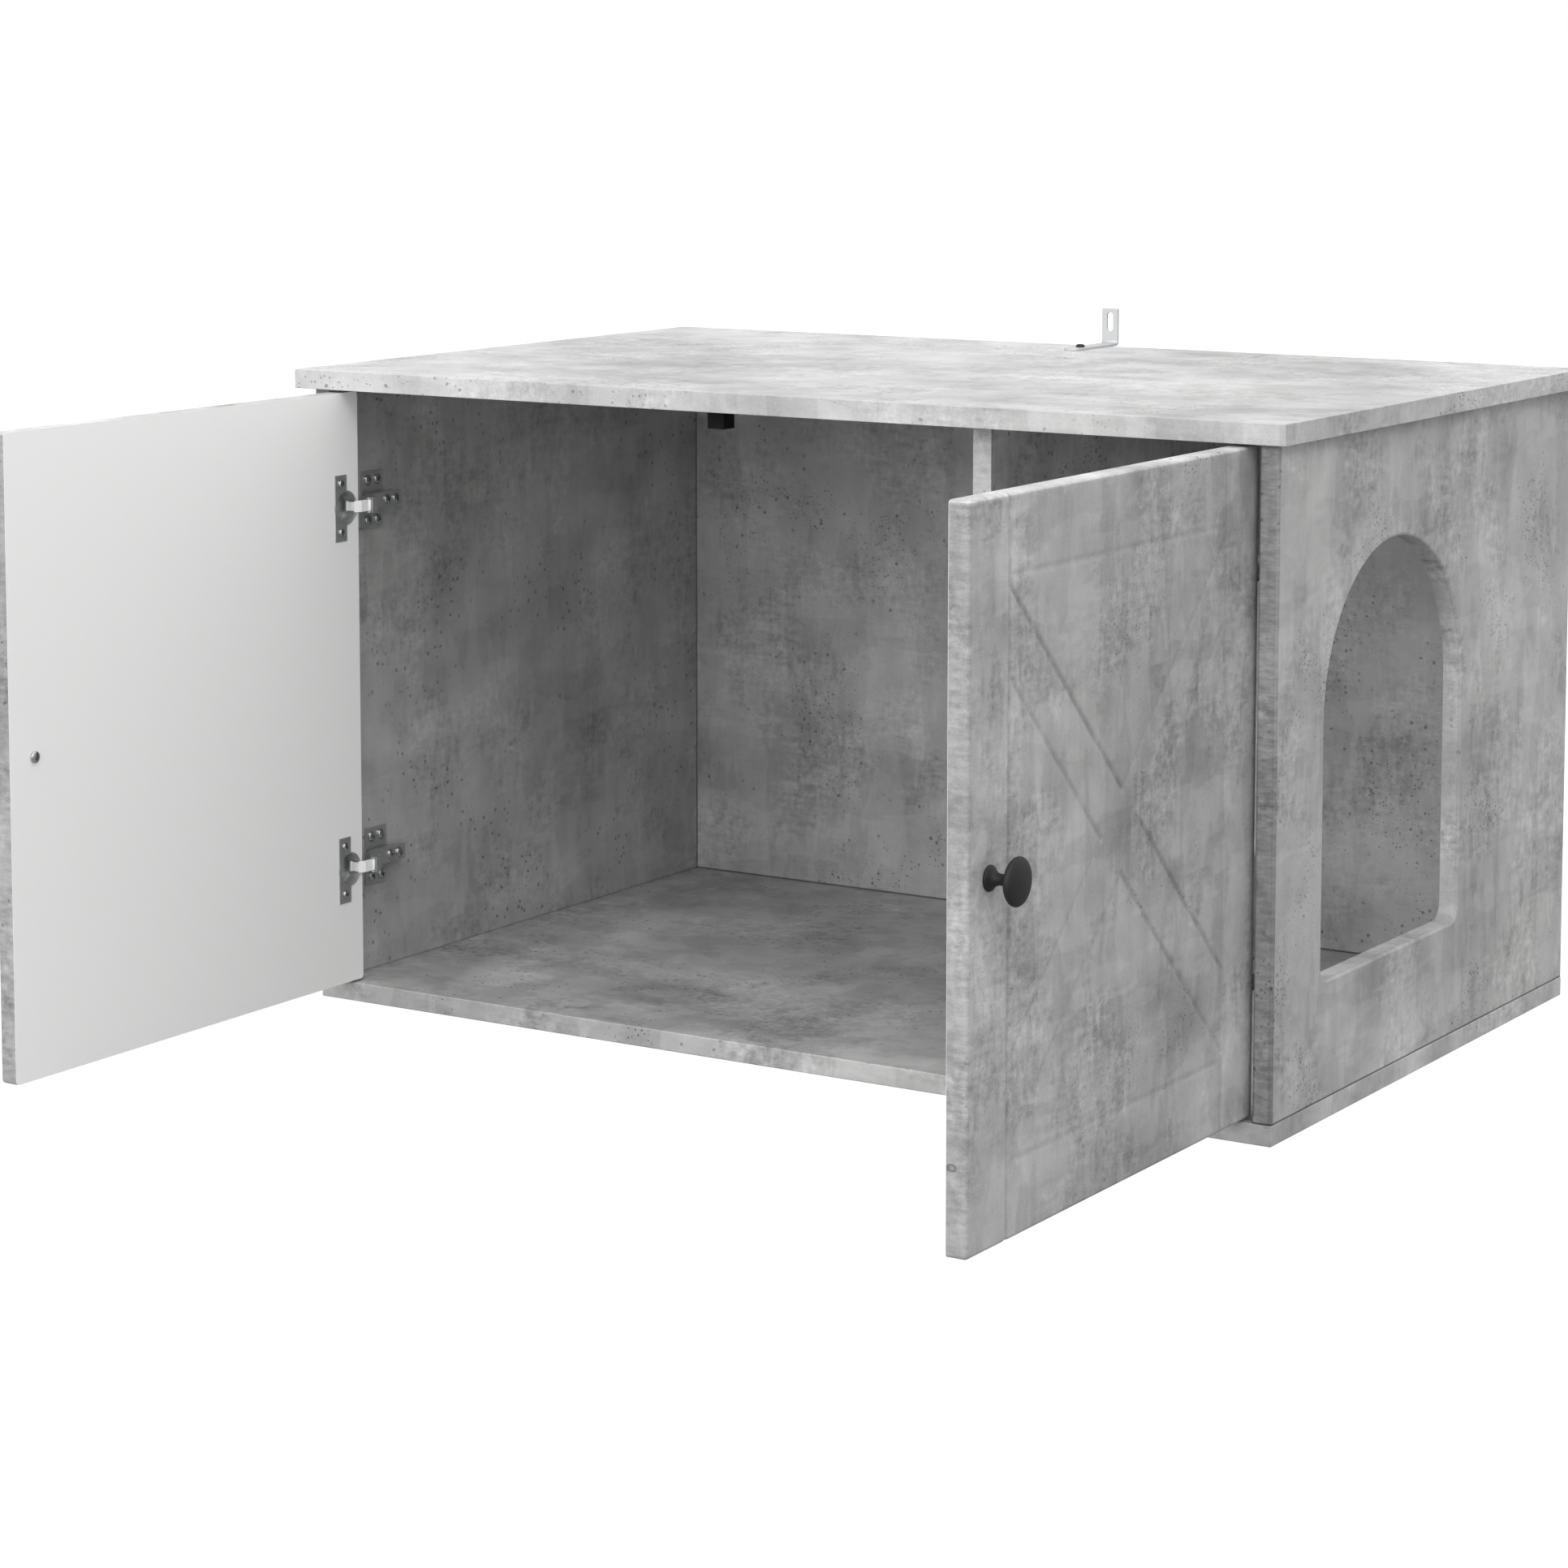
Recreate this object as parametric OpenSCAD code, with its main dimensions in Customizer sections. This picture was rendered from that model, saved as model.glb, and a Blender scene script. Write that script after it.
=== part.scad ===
// Cat house: a cabinet with two hinged doors, a divider with a passage and an arched side entrance.
// The origin is the middle of the underside, +Z is up and the doors face -Y.
// The doors are drawn standing open at rest_open_angle.

/* [Cabinet] */
// Width of the cabinet without the top's overhang
cabinet_w = 830; // [770:10:900]
// Depth of the cabinet without the top's overhang
cabinet_d = 530; // [500:10:600]
// Height from the floor to the top face
cabinet_h = 500; // [480:10:600]
// Thickness of every board of the cabinet
board_t = 15; // [15:0.5:18]
// Radius on the upright edges of the side panels
side_edge_r = 2.5; // [1:0.5:4]

/* [Top panel] */
// Overhang of the top past each side
top_side_over = 10; // [0:1:30]
// Overhang of the top past the front
top_front_over = 12; // [0:1:30]
// Overhang of the top past the back
top_back_over = 3; // [0:1:10]

/* [Openings] */
// Width of the arched openings
arch_w = 240; // [180:2:242]
// Height of the arched openings, sill to crown
arch_h = 302; // [270:2:306]
// Height of the sill above the inside floor
sill_h = 85; // [40:5:90]
// Radius of the two lower corners
sill_corner_r = 12; // [4:1:20]
// Radius on the outer edge of the side entrance
entrance_edge_r = 2.5; // [1:0.5:4]
// Distance from the front edge to the middle of the side entrance
entrance_from_front = 198; // [198:2:250]
// Distance from the back panel to the middle of the divider's passage
passage_from_back = 165; // [140:5:220]

/* [Divider] */
// Distance from the right outer face to the middle of the divider
divider_from_right = 240; // [200:2:300]
// Gap between the closed doors and the divider's front edge
divider_gap = 2; // [1:0.5:6]

/* [Doors] */
// Thickness of a door
door_t = 15; // [15:0.1:15.5]
// Gap between a door and its side panel
door_side_gap = 2; // [1.8:0.1:2.2]
// Gap between the two closed doors
door_middle_gap = 4; // [2:0.5:8]
// Gap above and below a door
door_end_gap = 2; // [1:0.5:4]
// Radius on the outer edges of a door
door_edge_r = 3; // [2.5:0.5:4]
// Angle at which the doors stand open
rest_open_angle = 90; // [0:5:95]

/* [Door front] */
// Width of the frame that the grooves mark out
frame_w = 50; // [35:1:70]
// Width of a diagonal brace
brace_w = 40; // [25:1:50]
// Width of a groove at the face
groove_w = 4; // [2:0.5:6]
// Depth of the upright grooves
groove_depth = 1.2; // [0.6:0.1:2]

/* [Hinges] */
// Distance from a door's end to the middle of a hinge
hinge_inset = 90; // [70:5:120]
// Depth of the hinge cup in the door
cup_depth = 10.6; // [10.6:0.1:11.2]
// Length of the cup's flange
flange_l = 52; // [48:1:60]
// Width of the cup's flange
flange_w = 14; // [12:0.5:15]
// Distance between the two screws of a cup
cup_screw_pitch = 38; // [38:1:40]
// Distance between the upper and lower screws of a mounting plate
plate_screw_pitch = 32; // [30:1:36]
// Distance between the two rows of screws of a mounting plate
plate_row_pitch = 12; // [10:1:14]
// Distance from the front plane to the front row of plate screws
plate_from_front = 44; // [42:1:45]
// Height of a hinge arm
arm_h = 12; // [12:0.5:14]
// Distance from the side panel to the face of the arm
arm_stand_off = 10; // [9:0.5:12]

/* [Knobs] */
// Diameter of a knob's head
knob_d = 31; // [24:1:38]
// Length of a knob from the door's face
knob_l = 24.5; // [20:0.5:32]
// Diameter of a knob's foot
knob_foot_d = 16.5; // [14:0.5:20]
// Diameter of a knob's neck
knob_neck_d = 7.4; // [7:0.1:10]
// Distance from the door's free edge to the knob
knob_inset = 25; // [20:1:32]

/* [Door stop] */
// Width of the door stop
stop_w = 15; // [12:1:25]
// Depth of the door stop
stop_d = 14.5; // [12:0.5:25]
// Height of the door stop
stop_h = 15; // [10:0.5:25]
// Distance from the middle of the opening to the door stop
stop_from_middle = 50; // [20:1:80]

/* [Wall bracket] */
// Width of the wall bracket
bracket_w = 15; // [12:1:25]
// Thickness of the wall bracket
bracket_t = 2; // [1.5:0.1:3]
// Height of the wall bracket above the top
bracket_h = 31; // [28:1:50]
// Length of the bracket's foot on the top
bracket_foot_l = 62; // [45:1:90]
// Distance from the back edge of the top to the wall
wall_gap = 10; // [6:1:20]
// Width of the slot for the wall screw
slot_w = 5.6; // [4:0.1:6]
// Length of the slot for the wall screw
slot_l = 16; // [10:1:18]

/* [Fixings] */
// Diameter of a wooden dowel
dowel_d = 8; // [6:1:8]
// Length of a wooden dowel
dowel_l = 30; // [24:2:36]
// Diameter of a screw under the floor
floor_screw_d = 5; // [4:0.5:6]
// Length of a screw under the floor
floor_screw_l = 48; // [40:1:60]
// Diameter of a cam disc
cam_d = 15; // [12:1:15]
// Distance from the top of a board to the middle of its cam disc
cam_drop = 24; // [20:1:34]
// Diameter of a small wood screw
wood_screw_d = 3.5; // [3:0.1:3.5]
// Length of a small wood screw
wood_screw_l = 12; // [10:1:13]

/* [Hidden] */

// Clearance around a fixing in its hole
hole_clear = 0.1;
// Length by which a cutter runs past the face that it cuts
cut = 1;
// Smoothness of round parts, and of the arches and knobs
$fn = 48;
fine_fn = 96;

// Planes of the cabinet
front_y = -cabinet_d / 2;
back_y = cabinet_d / 2;
back_panel_y = back_y - board_t;
under_top_z = cabinet_h - board_t;
inner_w = cabinet_w - 2 * board_t;
inner_h = cabinet_h - 2 * board_t;
side_mid_x = (cabinet_w - board_t) / 2;

// Divider
divider_x = cabinet_w / 2 - divider_from_right;
divider_front_y = front_y + door_t + divider_gap;

// Doors, measured from the side panel's inner face
door_w = (inner_w - 2 * door_side_gap - door_middle_gap) / 2;
door_h = inner_h - 2 * door_end_gap;
door_z = board_t + door_end_gap;
door_free_s = door_side_gap + door_w;
door_mid = [door_side_gap + door_w / 2, door_z + door_h / 2];
rail_depth_share = 0.85;
rail_groove_depth = groove_depth * rail_depth_share;
lower_hinge_z = door_z + hinge_inset;
upper_hinge_z = door_z + door_h - hinge_inset;
hinge_zs = [lower_hinge_z, upper_hinge_z];

// Direction from one point of plan to another, in degrees
function bearing(from, to) = atan2(to.y - from.y, to.x - from.x);

// Places in a hinge are [s, v]: s inwards from the side panel, v backwards from the front plane
pivot = [8, 4];
pin_d = 2;
pin_clear = 0.2;

// Cup and flange, drawn with the door closed
cup_r = 13;
cup_wall = 0.5;
cup_rim_over = 0.5;
flange_t = 0.8;
cup_edge = 3;
flange_shift = 6;
cup_s = door_side_gap + cup_edge + cup_r;
flange_s = cup_s + flange_shift;

// Link, drawn with the door open at ninety degrees
cup_pin_arm = 5;
cup_pin = pivot + [cup_pin_arm, 0];
cup_pin_closed = pivot + [0, cup_pin_arm];
arm_pin_reach = 14.9;
arm_pin = pivot + [arm_pin_reach, arm_pin_reach];
link_bend_step = [0.3, 9.9];
link_knee_step = [2.6, 14.7];
link_bend = arm_pin - link_bend_step;
link_knee = arm_pin - link_knee_step;
link_t = 1.6;
link_side_gap = 0.3;
link_eye_wall = 0.8;
link_cup_eye_wall = 0.3;
link_eye_r = pin_d / 2 + link_eye_wall;
link_cup_eye_r = pin_d / 2 + link_cup_eye_wall;
link_cup_w = 7;
cup_pin_over = 0.6;
link_turn_per_door = (bearing(cup_pin, arm_pin) - bearing(cup_pin_closed, arm_pin)) / 90;

// Arm
arm_t = 1.2;
arm_web_gap = 0.5;
arm_nose_wall = 0.8;
arm_shoulder_l = 6;
arm_crank_l = 6;
arm_tail_l = 33;
arm_cheek_step = 4;
arm_cheek_s = 3;
arm_nose_r = link_eye_r + arm_nose_wall;
arm_web_s = arm_pin.x + link_eye_r + arm_web_gap + arm_t;
arm_shoulder_v = arm_pin.y + arm_shoulder_l;
arm_crank_v = plate_from_front - arm_crank_l;
arm_back_v = plate_from_front + arm_tail_l;
arm_cheek_back_v = arm_back_v - arm_cheek_step;
link_w = arm_h - 2 * arm_t - 2 * link_side_gap;

// Screws that hold the arm to its plate
arm_screw_d = 4;
arm_screw_head_d = 7;
arm_screw_head_h = 1.8;
arm_screw_end_gap = 2;
arm_screw_insets = [8, 19];
arm_screw_l = arm_stand_off - arm_screw_end_gap;
arm_screw_vs = [for (inset = arm_screw_insets) arm_back_v - inset];

// Mounting plate
plate_t = 1.6;
plate_margin = 7;
plate_rib_gap = 0.4;
plate_rib_end_gap = 2;
plate_front_v = plate_from_front - plate_margin;
plate_back_v = plate_from_front + plate_row_pitch + plate_margin;
plate_rib_back_v = arm_back_v - plate_rib_end_gap;
plate_rib_w = arm_h - 2 * arm_t - 2 * plate_rib_gap;
plate_rib_s = arm_stand_off - arm_t;
plate_h = plate_screw_pitch + 2 * plate_margin;

// Small wood screws
wood_head_share = 1.9;
wood_head_d = wood_screw_d * wood_head_share;
wood_head_h = 2;

// Knob and its screw
knob_s = door_free_s - knob_inset;
knob_foot_h = 2.2;
knob_edge_r = 0.6;
knob_neck_share = 0.4;
knob_rim_share = 0.8;
knob_bowl_share = 0.43;
knob_rim_step = 2.4;
knob_neck_l = knob_l * knob_neck_share;
knob_rim_l = knob_l * knob_rim_share;
knob_bowl_l = knob_rim_l - knob_rim_step;
knob_bowl_r = knob_d * knob_bowl_share;
knob_screw_d = 4;
knob_screw_reach = 8;
knob_screw_head_d = 8.7;
knob_screw_head_h = 2.6;
knob_hole_clear = 0.25;

// Door stop
stop_gap = 0.5;
stop_corner_r = 1;
stop_mid = [-stop_from_middle, front_y + door_t + stop_gap + stop_d / 2];
stop_sink = 3;
stop_sink_clear = 0.5;
stop_grip = 9;

// Wall bracket
bracket_back_y = back_y + top_back_over + wall_gap;
bracket_front_y = back_y + top_back_over - bracket_foot_l;
bracket_hole_inset = 18;
bracket_hole_y = bracket_front_y + bracket_hole_inset;
bracket_corner_r = 5.5;
bracket_bend_r = 4;
bracket_hole_clear = 0.2;
slot_edge = 3.2;
slot_z = cabinet_h + bracket_h - slot_edge - slot_l / 2;
bracket_screw_head_d = 7.3;
bracket_screw_head_h = 2.6;

// Dowels: the share of a flat board that a dowel goes into, and the small bevel at its ends
dowel_grip = 0.7;
dowel_bevel = 1;
lower_dowel_z = board_t + dowel_l / 2 - board_t * dowel_grip;
upper_dowel_z = under_top_z - dowel_l / 2 + board_t * dowel_grip;

// Screws under the floor
floor_head_d = 10;
floor_head_h = 4;
floor_head_sink = 0.4;
floor_hex_depth = 2.5;

// Cam fittings
cam_depth = 12;
cam_drive_depth = 2;
cam_bolt_d = 6;
cam_bolt_grip = 10;
cam_bolt_neck_d = 3.2;
cam_bolt_head_h = 3;
cam_slot_w = 4.2;
cam_hole_clear = 0.5;

// Places of the fixings in plan; a cam site also has the direction in which its disc faces
end_margin = 60;
side_dowel_ys = [front_y + end_margin, 0, back_y - end_margin];
side_screw_ys = [front_y + 1.6 * end_margin, back_y - 1.6 * end_margin];
back_mid_y = back_y - board_t / 2;
back_dowel_xs = [-inner_w / 2 + end_margin, -end_margin, inner_w / 2 - end_margin];
back_screw_xs = [-inner_w / 3, inner_w / 3];
divider_dowel_ys = [divider_front_y + end_margin / 2, back_panel_y - end_margin / 2];
divider_screw_ys = [divider_front_y + end_margin, back_panel_y - end_margin];
dowel_sites = concat(
    [for (side = [-1, 1], y = side_dowel_ys) [side * side_mid_x, y]],
    [for (x = back_dowel_xs) [x, back_mid_y]],
    [for (y = divider_dowel_ys) [divider_x, y]]
);
floor_screw_sites = concat(
    [for (side = [-1, 1], y = side_screw_ys) [side * side_mid_x, y]],
    [for (x = back_screw_xs) [x, back_mid_y]],
    [for (y = divider_screw_ys) [divider_x, y]]
);
cam_sites = [
    [-side_mid_x, back_y - 1.5 * end_margin, 0],
    [side_mid_x, back_y - 1.5 * end_margin, 180],
    [-inner_w / 4, back_mid_y, -90],
    [inner_w / 3, back_mid_y, -90],
    [divider_x, back_y - 3 * end_margin, 180],
];

// Finishes
concrete = "#a8a8a6";
zinc = "#9a9da1";
bright_steel = "#e8eaec";
black_paint = "#2b2b2e";
black_plastic = "#1c1c1e";
beech = "#c9a877";

// Helpers for places and directions

// Box between two corners
module box(from, to) {
    translate(from)
        cube(to - from);
}

// The left side's own frame: s along X and v along Y, from the inner front edge of the side panel
module left_side() {
    translate([-inner_w / 2, front_y, 0])
        children();
}

module right_side() {
    mirror([1, 0, 0])
        left_side()
            children();
}

// Turns what is drawn about one point of plan
module turned_about(point, angle) {
    translate([point.x, point.y, 0])
        rotate([0, 0, angle])
            translate([-point.x, -point.y, 0])
                children();
}

// Takes a closed door's parts to where the door stands at rest
module swung_open() {
    turned_about(pivot, -rest_open_angle)
        children();
}

// Takes a link, drawn for a door at ninety degrees, to where it stands at rest
module link_turned() {
    turned_about(arm_pin, link_turn_per_door * (rest_open_angle - 90))
        children();
}

// Points +Z inwards from the side panel
module from_side(s, v, z) {
    translate([s, v, z])
        rotate([0, 90, 0])
            children();
}

// Points +Z backwards from the closed door
module from_door(s, v, z) {
    translate([s, v, z])
        rotate([-90, 0, 0])
            children();
}

// Hole along +Z, from a depth below the face to above the face
module hole(d, depth) {
    translate([0, 0, -depth])
        cylinder(d = d, h = depth + cut);
}

// Hole for a small wood screw whose head sits at a height above the board
module wood_screw_hole(head_at) {
    hole(wood_screw_d + 2 * hole_clear, wood_screw_l - head_at + hole_clear);
}

// Screws

// Cross recess that goes down from a height
module cross_recess(reach, depth, top) {
    width = reach / 4;
    for (turn = [0, 90])
        rotate([0, 0, turn])
            box([-reach / 2, -width / 2, top - depth], [reach / 2, width / 2, top + cut]);
}

// Screw with a rounded head on z = 0 and a pointed shank below it
module round_head_screw(head_d, head_h, shank_d, shank_l) {
    head_r = head_d / 2;
    rim_h = head_h * 0.3;
    tip_d = shank_d / 4;
    difference() {
        union() {
            rotate_extrude()
                polygon(concat(
                    [[0, 0], [head_r, 0]],
                    [for (a = [0:15:90]) [head_r * cos(a), rim_h + (head_h - rim_h) * sin(a)]]
                ));
            translate([0, 0, -shank_l + shank_d / 2])
                cylinder(d = shank_d, h = shank_l - shank_d / 2 + rim_h);
            translate([0, 0, -shank_l])
                cylinder(d1 = tip_d, d2 = shank_d, h = shank_d / 2);
        }
        cross_recess(head_d / 2, head_h * 0.6, head_h);
    }
}

module wood_screw() {
    round_head_screw(wood_head_d, wood_head_h, wood_screw_d, wood_screw_l);
}

// Boards

// Upright board or block with rounded upright edges, standing on z = 0
module rounded_post(w, d, h, r) {
    linear_extrude(h)
        union() {
            square([w - 2 * r, d], center = true);
            square([w, d - 2 * r], center = true);
            for (x = [-1, 1], y = [-1, 1])
                translate([x * (w / 2 - r), y * (d / 2 - r)])
                    circle(r);
        }
}

// Arched opening, with the middle of its sill at the origin
module arch_outline() {
    spring = arch_h - arch_w / 2;
    inner_half = arch_w / 2 - sill_corner_r;
    union() {
        translate([0, spring])
            circle(d = arch_w, $fn = fine_fn);
        translate([-arch_w / 2, sill_corner_r])
            square([arch_w, spring - sill_corner_r]);
        translate([-inner_half, 0])
            square([2 * inner_half, sill_corner_r + cut]);
        for (side = [-1, 1])
            translate([side * inner_half, sill_corner_r])
                circle(sill_corner_r);
    }
}

// What a rounded edge leaves out, from the edge of an opening outwards
module round_over_profile(r) {
    difference() {
        translate([-cut, -r])
            square([r + cut, r + cut]);
        translate([r, -r])
            circle(r);
    }
}

module straight_round_over(from, to, r) {
    run = to - from;
    translate([from.x, from.y, 0])
        rotate([0, 0, bearing(from, to)])
            rotate([90, 0, 90])
                linear_extrude(norm(run))
                    mirror([1, 0])
                        round_over_profile(r);
}

module curved_round_over(middle, radius, start, angle, r) {
    translate([middle.x, middle.y, 0])
        rotate([0, 0, start])
            rotate_extrude(angle = angle, $fn = fine_fn)
                translate([radius, 0])
                    round_over_profile(r);
}

// Rounds the edge of the arched opening where it meets the plane z = 0
module arch_round_over(r) {
    half = arch_w / 2;
    spring = arch_h - half;
    corner = sill_corner_r;
    curved_round_over([0, spring], half, 0, 180, r);
    curved_round_over([-half + corner, corner], corner, 180, 90, r);
    curved_round_over([half - corner, corner], corner, 270, 90, r);
    straight_round_over([half, corner], [half, spring], r);
    straight_round_over([-half, spring], [-half, corner], r);
    straight_round_over([-half + corner, 0], [half - corner, 0], r);
}

// Stands the arched opening upright, with z = 0 on the board's right face
module on_right_face(face_x, y) {
    translate([face_x, y, board_t + sill_h])
        rotate([90, 0, 90])
            children();
}

module arch_cutter() {
    translate([0, 0, -board_t - cut])
        linear_extrude(board_t + 2 * cut)
            arch_outline();
}

// Holes for the fixings between the boards

module dowel_holes(z) {
    for (site = dowel_sites)
        translate([site.x, site.y, z - dowel_l / 2 - hole_clear])
            cylinder(d = dowel_d + 2 * hole_clear, h = dowel_l + 2 * hole_clear);
}

module floor_screw_holes() {
    shank = floor_screw_d + 2 * hole_clear;
    head = floor_head_d + 2 * hole_clear;
    for (site = floor_screw_sites)
        translate([site.x, site.y, floor_head_sink]) {
            translate([0, 0, -floor_head_sink - cut])
                cylinder(d = head, h = floor_head_sink + cut);
            cylinder(d1 = head, d2 = shank, h = floor_head_h);
            translate([0, 0, floor_head_h / 2])
                cylinder(d = shank, h = floor_screw_l - floor_head_h / 2 + hole_clear);
        }
}

// Middle of a cam disc, with +X the way that the disc faces
module at_cam(site) {
    translate([site.x, site.y, under_top_z - cam_drop])
        rotate([0, 0, site.z])
            children();
}

module cam_holes() {
    for (site = cam_sites)
        at_cam(site) {
            from_side(board_t / 2, 0, 0)
                hole(cam_d + 2 * hole_clear, cam_depth + hole_clear);
            cylinder(d = cam_bolt_d + 2 * cam_hole_clear, h = cam_drop + cut);
        }
}

module board_fixing_holes() {
    dowel_holes(lower_dowel_z);
    dowel_holes(upper_dowel_z);
    floor_screw_holes();
    cam_holes();
}

module plate_screw_sites() {
    for (z = hinge_zs, side = [-1, 1], row = [0, 1])
        from_side(plate_t, plate_from_front + row * plate_row_pitch, z + side * plate_screw_pitch / 2)
            children();
}

module plate_screw_holes() {
    plate_screw_sites()
        translate([0, 0, -plate_t])
            wood_screw_hole(plate_t);
}

// Panels

module top_panel() {
    from = [-cabinet_w / 2 - top_side_over, front_y - top_front_over, under_top_z];
    to = [cabinet_w / 2 + top_side_over, back_y + top_back_over, cabinet_h];
    color(concrete)
        difference() {
            box(from, to);
            dowel_holes(upper_dowel_z);
            for (site = cam_sites)
                at_cam(site)
                    cylinder(d = cam_bolt_d + 2 * hole_clear, h = cam_drop + cam_bolt_grip + hole_clear);
            translate([0, bracket_hole_y, cabinet_h])
                wood_screw_hole(0);
            translate([stop_mid.x, stop_mid.y, under_top_z])
                mirror([0, 0, 1])
                    hole(wood_screw_d + 2 * hole_clear, stop_grip + hole_clear);
        }
}

module bottom_panel() {
    color(concrete)
        difference() {
            box([-cabinet_w / 2, front_y, 0], [cabinet_w / 2, back_y, board_t]);
            dowel_holes(lower_dowel_z);
            floor_screw_holes();
        }
}

module side_board(x) {
    translate([x, 0, board_t])
        rounded_post(board_t, cabinet_d, inner_h, side_edge_r);
}

module left_side_panel() {
    color(concrete)
        difference() {
            side_board(-side_mid_x);
            board_fixing_holes();
            left_side()
                plate_screw_holes();
        }
}

module right_side_panel() {
    color(concrete)
        difference() {
            side_board(side_mid_x);
            board_fixing_holes();
            right_side()
                plate_screw_holes();
            on_right_face(cabinet_w / 2, front_y + entrance_from_front) {
                arch_cutter();
                arch_round_over(entrance_edge_r);
            }
        }
}

module back_panel() {
    color(concrete)
        difference() {
            box([-inner_w / 2, back_panel_y, board_t], [inner_w / 2, back_y, under_top_z]);
            board_fixing_holes();
        }
}

module divider_panel() {
    half_t = board_t / 2;
    from = [divider_x - half_t, divider_front_y, board_t];
    to = [divider_x + half_t, back_panel_y, under_top_z];
    color(concrete)
        difference() {
            box(from, to);
            board_fixing_holes();
            on_right_face(divider_x + half_t, back_panel_y - passage_from_back)
                arch_cutter();
        }
}

// Fixings between the boards

module dowel() {
    tip_d = dowel_d - 2 * dowel_bevel;
    cylinder(d1 = tip_d, d2 = dowel_d, h = dowel_bevel);
    translate([0, 0, dowel_bevel])
        cylinder(d = dowel_d, h = dowel_l - 2 * dowel_bevel);
    translate([0, 0, dowel_l - dowel_bevel])
        cylinder(d1 = dowel_d, d2 = tip_d, h = dowel_bevel);
}

module panel_dowels() {
    color(beech)
        for (site = dowel_sites, z = [lower_dowel_z, upper_dowel_z])
            translate([site.x, site.y, z - dowel_l / 2])
                dowel();
}

module floor_screw() {
    point_h = floor_screw_d / 2;
    difference() {
        union() {
            cylinder(d1 = floor_head_d, d2 = floor_screw_d, h = floor_head_h);
            cylinder(d = floor_screw_d, h = floor_screw_l - point_h);
            translate([0, 0, floor_screw_l - point_h])
                cylinder(d1 = floor_screw_d, d2 = floor_screw_d / 4, h = point_h);
        }
        translate([0, 0, -cut])
            cylinder(d = floor_screw_d, h = cut + floor_hex_depth, $fn = 6);
    }
}

module floor_screws() {
    color(zinc)
        for (site = floor_screw_sites)
            translate([site.x, site.y, floor_head_sink])
                floor_screw();
}

// A cam bolt hangs from the top panel, and its head sits in the middle of the disc
module cam_bolts() {
    color(zinc)
        for (site = cam_sites)
            at_cam(site) {
                translate([0, 0, cam_drop])
                    cylinder(d = cam_bolt_d, h = cam_bolt_grip);
                cylinder(d = cam_bolt_neck_d, h = cam_drop);
                translate([0, 0, -cam_bolt_head_h])
                    cylinder(d = cam_bolt_d, h = cam_bolt_head_h);
            }
}

module cam_discs() {
    half_slot = cam_slot_w / 2;
    color(zinc)
        for (site = cam_sites)
            at_cam(site)
                difference() {
                    from_side(board_t / 2 - cam_depth, 0, 0)
                        cylinder(d = cam_d, h = cam_depth);
                    box([-half_slot, -half_slot, 0], [half_slot, half_slot, cam_d]);
                    translate([0, 0, -cam_bolt_head_h - hole_clear])
                        cylinder(d = cam_bolt_d + 2 * hole_clear, h = cam_bolt_head_h + 2 * hole_clear);
                    from_side(board_t / 2, 0, 0)
                        cross_recess(cam_d / 2, cam_drive_depth, 0);
                }
}

// Door stop under the top, behind the free edge of the left door

module door_stop() {
    color(black_plastic)
        translate([stop_mid.x, stop_mid.y, under_top_z - stop_h])
            difference() {
                rounded_post(stop_w, stop_d, stop_h, stop_corner_r);
                translate([0, 0, -cut]) {
                    cylinder(d = wood_screw_d + 2 * hole_clear, h = stop_h + 2 * cut);
                    cylinder(d = wood_head_d + 2 * stop_sink_clear, h = stop_sink + cut);
                }
            }
}

module door_stop_screw() {
    color(zinc)
        translate([stop_mid.x, stop_mid.y, under_top_z - stop_h + stop_sink])
            mirror([0, 0, 1])
                round_head_screw(wood_head_d, wood_head_h, wood_screw_d, stop_h - stop_sink + stop_grip);
}

// Wall bracket: a bent strip at the middle of the back edge

module bracket_profile() {
    bend = [bracket_back_y - bracket_bend_r, bracket_bend_r];
    difference() {
        union() {
            translate([bracket_front_y, 0])
                square([bend.x - bracket_front_y, bracket_t]);
            translate([bracket_back_y - bracket_t, bend.y])
                square([bracket_t, bracket_h - bend.y]);
            intersection() {
                translate(bend)
                    circle(bracket_bend_r);
                translate([bend.x, 0])
                    square(bracket_bend_r);
            }
        }
        translate(bend)
            circle(bracket_bend_r - bracket_t);
    }
}

module bracket_slot() {
    half_run = (slot_l - slot_w) / 2;
    translate([0, bracket_back_y - bracket_t - cut, slot_z])
        rotate([-90, 0, 0])
            linear_extrude(bracket_t + 2 * cut)
                union() {
                    square([slot_w, 2 * half_run], center = true);
                    for (end = [-1, 1])
                        translate([0, end * half_run])
                            circle(d = slot_w);
                }
}

// Outline of the strip from above, with two rounded corners at its front end
module bracket_plan() {
    r = bracket_corner_r;
    half_w = bracket_w / 2;
    union() {
        translate([-half_w, bracket_front_y + r])
            square([bracket_w, bracket_back_y - bracket_front_y]);
        translate([-half_w + r, bracket_front_y])
            square([bracket_w - 2 * r, r + cut]);
        for (side = [-1, 1])
            translate([side * (half_w - r), bracket_front_y + r])
                circle(r);
    }
}

module wall_bracket() {
    color(zinc)
        difference() {
            intersection() {
                translate([-bracket_w, 0, cabinet_h])
                    rotate([90, 0, 90])
                        linear_extrude(2 * bracket_w)
                            bracket_profile();
                translate([0, 0, cabinet_h - cut])
                    linear_extrude(bracket_h + 2 * cut)
                        bracket_plan();
            }
            bracket_slot();
            translate([0, bracket_hole_y, cabinet_h + bracket_t])
                hole(wood_screw_d + 2 * bracket_hole_clear, bracket_t + cut);
        }
}

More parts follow.
